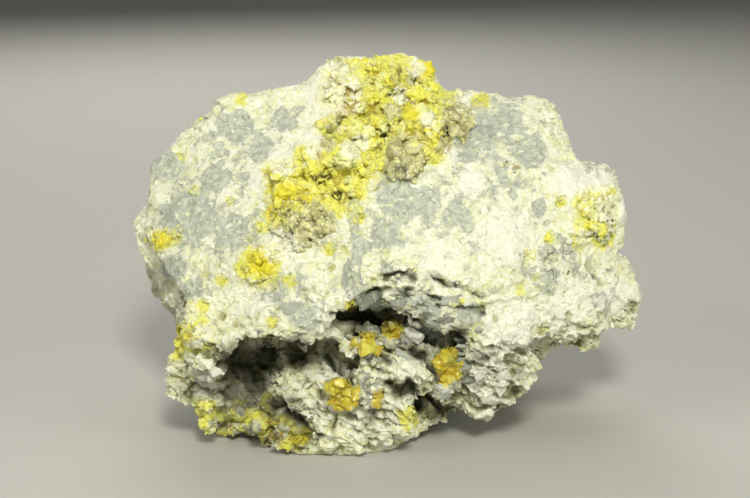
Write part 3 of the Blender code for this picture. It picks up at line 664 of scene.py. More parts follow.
def crumb_shape(seed):
    """A chip of chalk: a coarse sphere with its corners knocked about."""
    rng = random.Random(seed)
    bpy.ops.object.select_all(action="DESELECT")
    bpy.ops.mesh.primitive_ico_sphere_add(subdivisions=1, radius=0.5)
    chip = bpy.context.active_object
    for vertex in chip.data.vertices:
        vertex.co *= rng.uniform(0.65, 1.15)
    return template(chip)


def template(obj):
    """The corners and faces of a modelled shape, which is then removed from the scene."""
    shape = points_of(obj), [tuple(face.vertices) for face in obj.data.polygons]
    bpy.data.objects.remove(obj)
    return shape


def turned(rng, normal, lean):
    """A turn whose Z leans at most this many degrees from the normal."""
    spin = Matrix.Rotation(rng.uniform(0, math.tau), 3, "Z")
    tilt = Matrix.Rotation(math.radians(rng.uniform(0, lean)), 3, "X")
    swing = Matrix.Rotation(rng.uniform(0, math.tau), 3, "Z")
    return np.array(normal.to_track_quat("Z", "Y").to_matrix() @ swing @ tilt @ spin)


def seats_on(obj, count, rng, weight=None):
    """Random places on a mesh with their normals, by area and by a weight on its vertices."""
    mesh = obj.data
    mesh.calc_loop_triangles()
    corners = np.array([tri.vertices for tri in mesh.loop_triangles])
    areas = np.array([tri.area for tri in mesh.loop_triangles])
    if weight is not None:
        areas = areas * weight[corners].mean(axis=1)
    if areas.sum() == 0:
        return []
    places = points_of(obj)
    found = []
    for index in rng.choices(range(len(areas)), areas, k=count):
        a, b, c = places[corners[index]]
        u, v = sorted((rng.random(), rng.random()))
        found.append((Vector(a * u + b * (v - u) + c * (1 - v)), mesh.loop_triangles[index].normal.copy()))
    return found


def scatter(name, shapes, seats, sizes, rng, lean=70.0, sunk=0.12, small_bias=2.0):
    """One mesh of copies of the shapes at the seats. Their tones go from 0 to 1."""
    verts, faces, tones, count = [], [], [], 0
    low, high = (np.array(corner) for corner in CAD_BOX)
    for place, normal in seats:
        corners, sides = rng.choice(shapes)
        size = (sizes[0] + (sizes[1] - sizes[0]) * rng.random() ** small_bias) * MM
        squash = np.array([rng.uniform(0.8, 1.2) for _ in range(3)])
        put = (corners * squash * size) @ turned(rng, normal, lean).T + np.array(place + normal * size * sunk)
        if (put < low).any() or (put > high).any():
            continue
        verts.append(put)
        faces.extend(tuple(count + i for i in side) for side in sides)
        tones.extend([rng.random()] * len(put))
        count += len(put)
    return mesh_object(name, np.concatenate(verts), faces, tones)


def join(objects, name):
    """Joins objects to the first one."""
    bpy.ops.object.select_all(action="DESELECT")
    for obj in objects:
        obj.select_set(True)
    bpy.context.view_layer.objects.active = objects[0]
    bpy.ops.object.join()
    objects[0].name = name
    return objects[0]


# Single pieces, set where they are seen from the best side


def seen_at(trees, right, up):
    """The nearest place on any of the trees that is seen there from the best side, and the way to the viewer."""
    tilt = math.radians(BEST_ELEVATION)
    towards = Vector((0, -math.cos(tilt), math.sin(tilt)))
    eye = BEST_TARGET + towards * BEST_DISTANCE
    aim = BEST_TARGET + Vector((right, 0, 0)) * MM + Vector((0, math.sin(tilt), math.cos(tilt))) * up * MM
    ray = (aim - eye).normalized()
    hits = [hit for hit in (tree.ray_cast(eye, ray) for tree in trees) if hit[0] is not None]
    if not hits:
        raise RuntimeError(f"Nothing is seen {right} mm right and {up} mm up of the middle")
    place, normal, _, _ = min(hits, key=lambda hit: hit[3])
    return place, normal, towards


def block_shape(seed):
    """A broken block: a cube with its corners knocked about and then struck flat on several sides."""
    rng = random.Random(seed)
    bpy.ops.object.select_all(action="DESELECT")
    bpy.ops.mesh.primitive_cube_add(size=1.0)
    block = bpy.context.active_object
    bpy.ops.object.mode_set(mode="EDIT")
    bpy.ops.mesh.subdivide(number_cuts=7)
    bpy.ops.object.mode_set(mode="OBJECT")
    shift = Vector((rng.uniform(0, 50), 0, 0))
    blows = [(Vector([rng.gauss(0, 1) for _ in range(3)]).normalized(), rng.uniform(0.36, 0.5)) for _ in range(9)]
    for vertex in block.data.vertices:
        vertex.co += noise.noise_vector(vertex.co * 1.3 + shift) * 0.16
        for way, reach in blows:
            vertex.co -= way * max(0.0, vertex.co.dot(way) - reach)
    return template(block)


def build_plates(trees):
    """Blocks and blades of limestone, and the ribbed column, as one mesh with their tones."""
    rng = random.Random(41)
    shapes = [block_shape(seed) for seed in range(5)]
    (x0, y0), (x1, y1) = COLUMN
    steps = [i / (COLUMN_BLOCKS - 1) for i in range(COLUMN_BLOCKS)]
    column = [
        Plate(x0 + (x1 - x0) * t, y0 + (y1 - y0) * t, COLUMN_BLOCK, rng.uniform(-6, 6), rng.uniform(0.15, 0.5))
        for t in steps
    ]
    verts, faces, tones = [], [], []
    for plate in PLATES + column:
        place, normal, towards = seen_at(trees, plate.right, plate.up)
        face = (normal + towards).normalized()
        flat = Vector((1, 0, 0)) - face * face.x
        basis = Matrix((flat.normalized(), face.cross(flat).normalized(), face)).transposed()
        turn = np.array(basis @ Matrix.Rotation(math.radians(plate.turn), 3, "Z"))
        corners, sides = rng.choice(shapes)
        put = (corners * np.array(plate.size) * MM) @ turn.T + np.array(place - face * plate.size[2] * 0.2 * MM)
        chips = [noise.noise_vector(Vector(at) / 0.004) * 0.9 + noise.noise_vector(Vector(at) / 0.0016) * 0.4 for at in put]
        put = put + np.array(chips) * MM
        faces.extend(tuple(len(tones) + i for i in side) for side in sides)
        verts.append(put)
        tones.extend([plate.tone] * len(put))
    return mesh_object("limestone_blocks", np.concatenate(verts), faces, tones)


def build_lumps(name, lumps, trees, roughness, knobbly, seed):
    """Smooth rounded lumps of a mineral, half sunk where they are seen, as one mesh with their tones."""
    rng = random.Random(seed)
    verts, faces, tones = [], [], []
    corners, sides = ball_shape()
    for lump in lumps:
        place, _, towards = seen_at(trees, lump.right, lump.up)
        squash = np.array([rng.uniform(0.8, 1.2) for _ in range(3)]) * lump.width * MM
        shift = Vector((rng.uniform(0, 90), 0, 0))
        pushed = [1 + roughness * noise.fractal(Vector(c) * 2.2 + shift, 0.9, 2.2, 3) for c in corners]
        put = corners * np.array(pushed)[:, None] * squash
        knobs = np.array([sulfur_lumps(Vector(at) + shift) for at in put]) * knobbly * MM
        put = put + corners * 2 * knobs[:, None] + np.array(place - towards * lump.width * SUNK * MM)
        faces.extend(tuple(len(tones) + i for i in side) for side in sides)
        verts.append(put)
        tones.extend([rng.random()] * len(put))
    return mesh_object(name, np.concatenate(verts), faces, tones)


def build_crystals(trees, shapes):
    """Large sulfur crystals, each set where it is seen, as one mesh with their tones."""
    rng = random.Random(44)
    verts, faces, tones = [], [], []
    for crystal in CRYSTAL_LUMPS:
        place, normal, towards = seen_at(trees, crystal.right, crystal.up)
        corners, sides = rng.choice(shapes)
        put = (corners * crystal.width * MM) @ turned(rng, (normal + towards).normalized(), 60.0).T
        put = put + np.array(place)
        worn = np.array([noise.noise_vector(Vector(at) / 0.004) * 0.7 for at in put])
        faces.extend(tuple(len(tones) + i for i in side) for side in sides)
        verts.append(put + worn * MM)
        tones.extend([rng.random()] * len(put))
    return mesh_object("large_crystals", np.concatenate(verts), faces, tones)


def ball_shape():
    """A smooth ball of a few hundred faces."""
    bpy.ops.object.select_all(action="DESELECT")
    bpy.ops.mesh.primitive_ico_sphere_add(subdivisions=4, radius=0.5)
    return template(bpy.context.active_object)


def mesh_object(name, verts, faces, tones):
    """An object of these corners and faces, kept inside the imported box."""
    low, high = (np.array(corner) for corner in CAD_BOX)
    mesh = bpy.data.meshes.new(name)
    mesh.from_pydata(np.clip(verts, low, high).tolist(), [], faces)
    obj = bpy.data.objects.new(name, mesh)
    bpy.context.scene.collection.objects.link(obj)
    set_attribute(obj, "tone", tones)
    # Among these kinds, the dark olive one is painted shade, and slate is partly painted shade.
    for kind in ("clast", "sulfur", "rust", "calcite", "painted_shade", "slate", "white", "gold", "amber", "coat"):
        set_attribute(obj, kind, patch_weight(np.asarray(verts), kind))
    return obj


# Crusts


def sulfur_lumps(p):
    """Height of massive sulfur over its solid, in mm: knobs whose crystal faces lean every way."""
    knob = facets(p, 0.0062, 0.9) + facets(p, 0.0026, 0.9)
    return knob + noise.noise(p / 0.012) * 1.8


def facets(p, size, lean):
    """Height in mm of blocky grains of a size in metres, each with a flat top that leans its own way."""
    gaps, cells = noise.voronoi(p / size)
    top = noise.noise_vector(cells[0] * 3.3) * lean
    middle = noise.noise(cells[0] * 4.7) + 0.5 * min((gaps[1] - gaps[0]) / 0.25, 1.0) - 0.35
    return (top.dot(p - cells[0] * size) + middle * size * 0.3) / MM


def worn_faces(p):
    """Height of worn crystals over their solid, in mm: their flat faces with shallow steps and pits."""
    gaps, cells = noise.voronoi(p / 0.0055)
    return noise.noise(cells[0] * 4.7) * 0.8 + min((gaps[1] - gaps[0]) / 0.2, 1.0) * 0.4 + noise.noise(p / 0.003) * 0.3


def calcite_lumps(p):
    """Height of calcite over its solid, in mm: close-set domes."""
    gaps, cells = noise.voronoi(p / 0.0052)
    small_gaps, _ = noise.voronoi(p / 0.0026)
    ball = (0.5 - gaps[0] ** 2) * 2.4 + noise.noise(cells[0] * 6.1) * 1.2
    return ball + (0.4 - small_gaps[0] ** 2) * 0.9 + noise.noise(p / 0.009) * 1.0 - 0.8


def build_crust(node, lumps, sizes):
    """A node's crystals as a lumpy crust."""
    crust = copy_of_node(node, node + "_crust")
    apply_modifier(crust, "REMESH", mode="VOXEL", voxel_size=sizes.crust_voxel)
    apply_modifier(crust, "SMOOTH", factor=0.5, iterations=5)
    points = points_of(crust)
    heights = np.array([lumps(Vector(p)) for p in points])
    cracks = np.minimum(crack_heights(points), 0)
    tone = 0.5 + np.array([noise.noise(Vector(p) / 0.008) for p in points]) * 0.6
    set_attribute(crust, "tone", tone)
    # The dark olive weight among these is painted shade.
    for kind in ("gold", "white", "amber", "painted_shade", "coat", "calcite", "sulfur"):
        set_attribute(crust, kind, patch_weight(points, kind))
    # Painted shade: the hollow weight darkens the crust's low spots, and the crack weight darkens its cracks.
    set_attribute(crust, "hollow", ramp01(-heights, 0.2, 1.6) * 0.75)
    set_attribute(crust, "crack", ramp01(-cracks, 0.8, 2.6) * 0.95)
    move_out(crust, heights + cracks)
    thin_to(crust, sizes.crust_triangles)
    place_points(crust, points_of(crust))
    only(crust)
    bpy.ops.object.shade_smooth_by_angle(angle=SHARP_CHIP)
    return crust


# Nodes and materials


def feed(tree, socket, value):
    """Links an input to another socket, or sets it to a plain value. A colour of three parts gets its fourth."""
    if isinstance(value, bpy.types.NodeSocket):
        tree.links.new(value, socket)
    elif socket.type == "RGBA":
        socket.default_value = (*value, 1)
    else:
        socket.default_value = value


def add_node(tree, kind, settings=(), inputs=()):
    """Adds a shader node, sets its properties, and feeds its inputs."""
    made = tree.nodes.new(kind)
    for key, value in dict(settings).items():
        setattr(made, key, value)
    for key, value in dict(inputs).items():
        feed(tree, made.inputs[key], value)
    return made


def new_material(name):
    material = bpy.data.materials.new(name)
    material.use_nodes = True
    return material, material.node_tree, material.node_tree.nodes["Principled BSDF"]


def object_places(tree):
    return add_node(tree, "ShaderNodeTexCoord").outputs["Object"]


def grain(tree, places, period, detail=3.0, roughness=0.6):
    """Noise whose lumps are about this many mm across."""
    inputs = {"Vector": places, "Scale": 1 / (period * MM), "Detail": detail, "Roughness": roughness}
    return add_node(tree, "ShaderNodeTexNoise", {}, inputs).outputs["Fac"]


def between(tree, value, low, high):
    """A socket's value, stretched so that low is 0 and high is 1."""
    return add_node(tree, "ShaderNodeMapRange", {}, {0: value, 1: low, 2: high}).outputs[0]


def attribute(tree, name):
    return add_node(tree, "ShaderNodeAttribute", {"attribute_name": name}).outputs["Fac"]


def maths(tree, operation, *values):
    return add_node(tree, "ShaderNodeMath", {"operation": operation}, dict(enumerate(values))).outputs[0]


def part_of(tree, value, share):
    return maths(tree, "MULTIPLY", value, share)


def plus(tree, value, extra, share):
    """A value with a share of another, counted from its middle, added."""
    return maths(tree, "MULTIPLY_ADD", maths(tree, "SUBTRACT", extra, 0.5), share, value)


def mix(tree, share, first, second):
    """Colour from first to second by a share. Each colour is a socket or a linear triple."""
    return add_node(tree, "ShaderNodeMix", {"data_type": "RGBA"}, {0: share, 6: first, 7: second}).outputs[2]


def bump(tree, height, distance, strength, under=None):
    """Fine relief this many mm high, on top of another's."""
    inputs = {"Height": height, "Distance": distance * MM, "Strength": strength}
    if under is not None:
        inputs["Normal"] = under
    return add_node(tree, "ShaderNodeBump", {}, inputs).outputs[0]


def shaken(tree, places, period, reach):
    """Places moved about by noise, so that what is drawn at them gets ragged edges."""
    inputs = {"Vector": places, "Scale": 1 / (period * MM), "Detail": 3.0}
    wander = add_node(tree, "ShaderNodeTexNoise", {}, inputs).outputs["Color"]
    inputs = {0: wander, 1: (reach * MM, reach * MM, reach * MM), 2: places}
    return add_node(tree, "ShaderNodeVectorMath", {"operation": "MULTIPLY_ADD"}, inputs).outputs[0]


def cell_tones(tree, places, size):
    """A random tone from 0 to 1 for each grain of about this many mm."""
    cells = add_node(tree, "ShaderNodeTexVoronoi", {}, {"Vector": places, "Scale": 1 / (size * MM)})
    return add_node(tree, "ShaderNodeSeparateColor", {}, {0: cells.outputs["Color"]}).outputs[0]


def chalky_breccia(colours):
    """Limestone breccia under a chalky gypsum crust. The crust is matt and cream with a powdery grain, the
    bare limestone is a denser warm grey, and sulfur dust stains both lemon. Its cracks, low spots and
    shadowed undercuts are darkened with painted shade."""
    material, tree, shader = new_material("chalky_limestone_breccia")
    places = object_places(tree)
    ragged = shaken(tree, places, 3.0, 2.4)
    grains = cell_tones(tree, ragged, 1.5)
    chips = cell_tones(tree, ragged, 5.0)
    broad = grain(tree, places, 9.0, 4.0, 0.6)
    middling = grain(tree, places, 4.0, 4.0, 0.65)
    fine = grain(tree, places, 2.2, 4.0, 0.7)
    body = mix(tree, between(tree, grains, 0.2, 0.8), tuple(colours.cream), tuple(colours.chalk))
    white = attribute(tree, "white")
    body = mix(tree, part_of(tree, white, 0.8), body, tuple(colours.chalk))
    dusty = between(tree, plus(tree, plus(tree, 0.5, middling, 1.8), chips, 0.4), 0.5, 0.62)
    dusty = maths(tree, "SUBTRACT", part_of(tree, dusty, 0.45), part_of(tree, white, 0.4))
    body = mix(tree, dusty, body, tuple(colours.pale_yellow))
    streaks = add_node(tree, "ShaderNodeMapping", {}, {0: places, 2: (0, BED_DIP, 0), 3: (0.35, 1.0, 1.5)})
    slaty = plus(tree, plus(tree, attribute(tree, "slate"), grain(tree, streaks.outputs[0], 4.5, 4.0), 2.4), chips, 0.3)
    smoky = between(tree, plus(tree, plus(tree, 0.5, fine, 1.6), chips, 0.25), 0.64, 0.74)
    body = mix(tree, part_of(tree, smoky, 0.45), body, tuple(colours.clast))
    grey = mix(tree, between(tree, middling, 0.4, 0.6), tuple(colours.clast), tuple(colours.clast_pale))
    grey = mix(tree, part_of(tree, between(tree, grains, 0.7, 0.8), 0.4), grey, tuple(colours.clast_dark))
    bare = plus(tree, plus(tree, plus(tree, attribute(tree, "clast"), broad, 2.0), middling, 0.9), chips, 0.45)
    bare = between(tree, bare, 0.4, 0.62)
    inclusion = between(tree, grain(tree, places, 3.6, 4.0, 0.6), 0.55, 0.6)
    bare = maths(tree, "MULTIPLY", bare, maths(tree, "SUBTRACT", 1.0, part_of(tree, inclusion, 0.85)))
    body = mix(tree, bare, body, grey)
    # Dark slaty streaks: real slaty limestone, and on the lower ledge also painted shade.
    body = mix(tree, part_of(tree, between(tree, slaty, 0.5, 0.6), 0.9), body, tuple(colours.slate))
    yellow = plus(tree, plus(tree, plus(tree, attribute(tree, "sulfur"), middling, 1.8), broad, 1.6), grains, 0.15)
    stain = mix(tree, between(tree, yellow, 0.5, 1.0), tuple(colours.pale_yellow), tuple(colours.sulfur))
    deep = plus(tree, plus(tree, attribute(tree, "gold"), middling, 1.6), grains, 0.3)
    stain = mix(tree, between(tree, deep, 0.4, 0.8), stain, tuple(colours.gold))
    open_rock = maths(tree, "SUBTRACT", 0.9, part_of(tree, bare, 0.6))
    body = mix(tree, maths(tree, "MULTIPLY", between(tree, yellow, 0.4, 0.75), open_rock), body, stain)
    powdered = plus(tree, plus(tree, white, middling, 2.0), grains, 0.3)
    body = mix(tree, part_of(tree, between(tree, powdered, 0.5, 0.7), 0.7), body, tuple(colours.chalk))
    tan = between(tree, plus(tree, attribute(tree, "calcite"), middling, 1.6), 0.5, 0.62)
    body = mix(tree, part_of(tree, tan, 0.8), body, mix(tree, grains, tuple(colours.calcite), tuple(colours.calcite_pale)))
    rust = attribute(tree, "rust")
    rusty = between(tree, plus(tree, part_of(tree, rust, 0.5), fine, 1.6), 0.56, 0.7)
    body = mix(tree, part_of(tree, rusty, 0.5), body, tuple(colours.rust))
    wander = maths(tree, "ABSOLUTE", maths(tree, "SUBTRACT", grain(tree, ragged, 12.0, 2.0, 0.5), 0.5))
    threads = maths(tree, "MULTIPLY", between(tree, wander, 0.022, 0.004), between(tree, rust, 0.5, 0.9))
    body = mix(tree, part_of(tree, threads, 0.95), body, tuple(colours.iron))
    dots = between(tree, grain(tree, places, 1.3, 2.0, 0.5), 0.68, 0.74)
    body = mix(tree, part_of(tree, dots, 0.45), body, tuple(colours.rust))
    # Painted shade: a darker yellow-green in the low spots between chips.
    body = mix(tree, part_of(tree, attribute(tree, "recess"), 0.6), body, tuple(colours.recess))
    # Painted shade: dark olive under the overhangs and on the left foot.
    body = mix(tree, part_of(tree, attribute(tree, "painted_shade"), 0.9), body, tuple(colours.painted_shade))
    # Painted shade: near black in the open cracks and the low spots of the foot.
    body = mix(tree, part_of(tree, attribute(tree, "hollow"), 0.95), body, tuple(colours.crevice_shade))
    tree.links.new(body, shader.inputs["Base Color"])
    shader.inputs["Roughness"].default_value = 0.92
    shader.inputs["IOR"].default_value = 1.5
    crusty = maths(tree, "SUBTRACT", 1.0, part_of(tree, bare, 0.6))
    rough = bump(tree, maths(tree, "MULTIPLY", fine, crusty), 1.1, 0.9)
    grit = bump(tree, maths(tree, "MULTIPLY", grains, crusty), 0.2, 0.7, rough)
    tree.links.new(grit, shader.inputs["Normal"])
    return material


def broken_limestone(colours):
    """Blocks of limestone: dense and matt, from slate to chalk white by their tone, with powder on them."""
    material, tree, shader = new_material("broken_limestone")
    places = object_places(tree)
    tone = attribute(tree, "tone")
    body = mix(tree, between(tree, tone, 0.05, 0.5), tuple(colours.slate), tuple(colours.clast))
    body = mix(tree, between(tree, tone, 0.5, 0.9), body, tuple(colours.chalk))
    powder = between(tree, grain(tree, places, 3.0, 4.0, 0.7), 0.57, 0.66)
    body = mix(tree, part_of(tree, powder, 0.7), body, tuple(colours.cream))
    tree.links.new(body, shader.inputs["Base Color"])
    shader.inputs["Roughness"].default_value = 0.85
    tree.links.new(bump(tree, grain(tree, places, 1.6, 4.0), 0.6, 0.8), shader.inputs["Normal"])
    return material


def massive_sulfur(colours):
    """Massive sulfur: resinous and slightly see-through, lemon on its knobs with deeper golden zones, with a
    dusting of white gypsum. Its hollows get painted amber shade, its cracks painted umber shade, and its
    shadowed parts painted dark olive shade."""
    material, tree, shader = new_material("massive_sulfur")
    places = object_places(tree)
    ragged = shaken(tree, places, 3.0, 2.0)
    grains = cell_tones(tree, ragged, 1.6)
    cloud = grain(tree, places, 6.0, 4.0, 0.6)
    frost = grain(tree, places, 2.6, 4.0, 0.7)
    tone = plus(tree, plus(tree, attribute(tree, "tone"), cloud, 1.6), grains, 0.15)
    body = mix(tree, between(tree, tone, 0.3, 0.8), tuple(colours.sulfur), tuple(colours.pale_yellow))
    deep = plus(tree, plus(tree, attribute(tree, "gold"), cloud, 1.6), grains, 0.15)
    body = mix(tree, between(tree, deep, 0.3, 0.9), body, tuple(colours.gold))
    powdered = plus(tree, plus(tree, plus(tree, attribute(tree, "white"), frost, 2.4), cloud, 1.2), grains, 0.3)
    body = mix(tree, part_of(tree, between(tree, powdered, 0.35, 0.6), 0.75), body, tuple(colours.chalk))
    coat = mix(tree, between(tree, frost, 0.45, 0.55), tuple(colours.clast), tuple(colours.cream))
    coated = plus(tree, plus(tree, attribute(tree, "coat"), cloud, 2.0), grains, 0.3)
    body = mix(tree, part_of(tree, between(tree, coated, 0.45, 0.6), 0.9), body, coat)
    tan = between(tree, plus(tree, plus(tree, attribute(tree, "calcite"), cloud, 2.2), frost, 1.0), 0.42, 0.56)
    body = mix(tree, part_of(tree, tan, 0.8), body, tuple(colours.calcite_pale))
    # Painted shade: dark olive where the crust lies in shadow.
    body = mix(tree, part_of(tree, attribute(tree, "painted_shade"), 0.85), body, tuple(colours.painted_shade))
    # Painted shade: the crust's low spots turn amber.
    body = mix(tree, attribute(tree, "hollow"), body, tuple(colours.amber))
    # Painted shade: dark umber in the cracks.
    body = mix(tree, attribute(tree, "crack"), body, tuple(colours.umber_crack_shade))
    tree.links.new(body, shader.inputs["Base Color"])
    shader.inputs["Roughness"].default_value = 0.5
    shader.inputs["IOR"].default_value = 1.9
    shader.inputs["Specular IOR Level"].default_value = 0.25
    shader.inputs["Subsurface Weight"].default_value = 0.25
    shader.inputs["Subsurface Radius"].default_value = (1.0, 0.95, 0.3)
    shader.inputs["Subsurface Scale"].default_value = 0.002
    rough = bump(tree, grain(tree, places, 1.8, 4.0, 0.65), 0.7, 0.8)
    tree.links.new(bump(tree, grains, 0.15, 0.5, rough), shader.inputs["Normal"])
    return material


def crystal_sulfur(colours):
    """Sulfur crystals: clearer than the massive kind, with a bright resinous lustre on flat faces and amber
    where the light passes through more of them."""
    material, tree, shader = new_material("crystal_sulfur")
    places = object_places(tree)
    cloud = between(tree, grain(tree, places, 7.0, 3.0), 0.35, 0.65)
    body = mix(tree, cloud, tuple(colours.honey), tuple(colours.sulfur))
    body = mix(tree, maths(tree, "MULTIPLY", attribute(tree, "tone"), 0.4), body, tuple(colours.amber))
    middling = grain(tree, places, 4.0, 4.0, 0.65)
    clean = between(tree, plus(tree, attribute(tree, "amber"), middling, 2.0), 0.3, 0.5)
    coat = mix(tree, between(tree, middling, 0.45, 0.55), tuple(colours.clast), tuple(colours.cream))
    body = mix(tree, clean, coat, body)
    # Painted shade: near black where the crystals lie in shadow under the overhang.
    body = mix(tree, part_of(tree, attribute(tree, "painted_shade"), 0.8), body, tuple(colours.crevice_shade))
    tree.links.new(body, shader.inputs["Base Color"])
    shader.inputs["Roughness"].default_value = 0.36
    shader.inputs["IOR"].default_value = 1.9
    shader.inputs["Specular IOR Level"].default_value = 0.25
    shader.inputs["Transmission Weight"].default_value = 0.15
    rough = bump(tree, grain(tree, places, 1.8, 3.0), 0.25, 0.4)
    tree.links.new(rough, shader.inputs["Normal"])
    return material


def sugary_calcite(colours):
    """Calcite: grey to tan balls of fine crystals, slightly see-through, with a soft glassy lustre."""
    material, tree, shader = new_material("sugary_calcite")
    places = object_places(tree)
    grains = cell_tones(tree, shaken(tree, places, 3.0, 1.5), 1.4)
    cloud = plus(tree, plus(tree, attribute(tree, "tone"), grain(tree, places, 4.0), 1.6), grains, 0.4)
    body = mix(tree, between(tree, cloud, 0.2, 0.8), tuple(colours.calcite), tuple(colours.calcite_pale))
    dusty = between(tree, grain(tree, places, 5.0, 4.0, 0.7), 0.48, 0.58)
    body = mix(tree, part_of(tree, dusty, 0.7), body, tuple(colours.pale_yellow))
    frosted = plus(tree, attribute(tree, "white"), grain(tree, places, 8.0, 4.0, 0.65), 2.0)
    body = mix(tree, part_of(tree, between(tree, frosted, 0.15, 0.35), 0.75), body, tuple(colours.chalk))
    lemon = between(tree, plus(tree, attribute(tree, "sulfur"), grain(tree, places, 6.0, 4.0, 0.65), 2.4), 0.75, 0.95)
    body = mix(tree, part_of(tree, lemon, 0.7), body, tuple(colours.sulfur))
    # Painted shade: dark olive in the crust's low spots.
    body = mix(tree, attribute(tree, "hollow"), body, tuple(colours.painted_shade))
    # Painted shade: near black in its cracks.
    body = mix(tree, attribute(tree, "crack"), body, tuple(colours.crevice_shade))
    tree.links.new(body, shader.inputs["Base Color"])
    shader.inputs["Roughness"].default_value = 0.4
    shader.inputs["IOR"].default_value = 1.6
    shader.inputs["Subsurface Weight"].default_value = 0.2
    shader.inputs["Subsurface Radius"].default_value = (1.0, 0.9, 0.6)
    shader.inputs["Subsurface Scale"].default_value = 0.002
    tree.links.new(bump(tree, grain(tree, places, 0.9, 4.0), 0.3, 0.6), shader.inputs["Normal"])
    return material


def studio_paper(colours):
    """Matt studio paper: an even pale grey with no sheen."""
    material, tree, shader = new_material("studio_paper")
    shader.inputs["Base Color"].default_value = (*colours.paper, 1)
    shader.inputs["Roughness"].default_value = 0.95
    return material


# Settings


def millimetres(name, description, default):
    return FloatProperty(name=name, description=description, default=default * MM, unit="LENGTH", precision=5)


def colour(name, description, code):
    return FloatVectorProperty(name=name, description=description, default=linear(code), size=3, subtype="COLOR")


class SpecimenSizes(bpy.types.PropertyGroup):
    """How fine the meshes are."""

    skin_voxel: millimetres("Skin voxel", "Size of the cells that the rock's skin is rebuilt from", 1.05)
    front_triangles: IntProperty(name="Front", description="Triangles the skin's front aims for", default=124000)
    back_triangles: IntProperty(name="Back", description="Triangles the skin's back aims for", default=41000)
    crust_voxel: millimetres("Crust voxel", "Size of the cells that a crust is rebuilt from", 0.8)
    crust_triangles: IntProperty(name="Crust triangles", description="Triangles a crust keeps", default=16000)
    grain_count: IntProperty(name="Grains", description="Loose grains of sulfur on the rock", default=1500)
    crumb_count: IntProperty(name="Crumbs", description="Loose crumbs of chalk on the rock", default=3500)


class SpecimenColours(bpy.types.PropertyGroup):
    """The minerals' colours."""

    chalk: colour("Chalk", "The cleanest white crust", "#f2f1df")
    cream: colour("Cream", "The usual crust", "#e2e2bd")
    pale_yellow: colour("Pale yellow", "Crust dusted with sulfur", "#e5e59c")
    clast: colour("Clast", "Bare grey limestone", "#acaf9f")
    clast_pale: colour("Pale clast", "Bare limestone with a trace of crust", "#c8cdb9")
    clast_dark: colour("Dark clast", "The darker grain of bare limestone", "#8b907d")
    sulfur: colour("Sulfur", "Lemon sulfur", "#e9e55e")
    gold: colour("Gold", "Deeper sulfur", "#e3d72e")
    # Amber is the crystals' own deeper tone, and also painted shade in the hollows of the massive sulfur.
    amber: colour("Amber", "Sulfur in the depths", "#b39c22")
    calcite: colour("Calcite", "Tan-grey calcite", "#a39c68")
    calcite_pale: colour("Pale calcite", "Lighter calcite", "#cdc898")
    # Slate is the dark limestone's own colour, and on the lower ledge also painted shade.
    slate: colour("Slate", "Dark slaty limestone", "#6c7162")
    honey: colour("Honey", "Clear sulfur crystal", "#d8b624")
    # Painted shade: dark umber in the cracks of the massive sulfur.
    umber_crack_shade: colour("Umber", "Sulfur in its deepest cracks", "#54490f")
    rust: colour("Rust", "Brown iron stain", "#7d7150")
    iron: colour("Iron", "Fine brown cracks", "#5c4024")
    # Painted shade: near black olive for the shadowed undercuts and ledges, and for the calcite's low spots.
    painted_shade: colour("Dirt", "Dark olive dust under the ledges", "#2f2d15")
    # Painted shade: a darker yellow-green for the low spots between chips.
    recess: colour("Recess", "Sulfur dust between the chips", "#c3c262")
    # Painted shade: near black for the cracks and the shadowed crystals.
    crevice_shade: colour("Crevice", "Dirt in the cracks", "#2b2a12")
    paper: colour("Paper", "The floor", "#bdbbb4")


# Operators


class SPECIMEN_OT_rock(bpy.types.Operator):
    """Builds the rock's skin"""

    bl_idname = "specimen.rock"
    bl_label = "Rock skin"

    def execute(self, context):
        scene = context.scene
        rock = build_rock_skin(scene.specimen_sizes)
        finish_piece(rock, chalky_breccia(scene.specimen_colours), "limestone", "limestone_matrix")
        return {"FINISHED"}


class SPECIMEN_OT_sulfur_crusts(bpy.types.Operator):
    """Builds the massive sulfur with its small crystals"""

    bl_idname = "specimen.sulfur_crusts"
    bl_label = "Sulfur crusts"

    def execute(self, context):
        sizes = context.scene.specimen_sizes
        material = massive_sulfur(context.scene.specimen_colours)
        rng = random.Random(31)
        shapes = [sulfur_shape(0.3, 0.6, 0.85), sulfur_shape(0.55, 0.5, 0.8), sulfur_shape(0.15, 0.8, 0.9)]
        for node in MASSIVE_NODES:
            crust = build_crust(node, sulfur_lumps, sizes)
            small = scatter(node + "_small", shapes, seats_on(crust, 180, rng), (1.0, 3.2), rng)
            finish_piece(join([crust, small], node + "_crust"), material, "sulfur", node)
        return {"FINISHED"}


class SPECIMEN_OT_sulfur_crystals(bpy.types.Operator):
    """Builds the larger sulfur crystals"""

    bl_idname = "specimen.sulfur_crystals"
    bl_label = "Sulfur crystals"

    def execute(self, context):
        sizes = context.scene.specimen_sizes
        material = crystal_sulfur(context.scene.specimen_colours)
        rng = random.Random(32)
        shapes = [sulfur_shape(0.3, 0.6, 0.85), sulfur_shape(0.5, 0.7, 0.8)]
        for node in CRYSTAL_NODES:
            cluster = build_crust(node, worn_faces, sizes)
            small = scatter(node + "_small", shapes, seats_on(cluster, 70, rng), (1.5, 5.0), rng, sunk=0.1)
            finish_piece(join([cluster, small], node + "_crystals"), material, "sulfur", node)
        return {"FINISHED"}


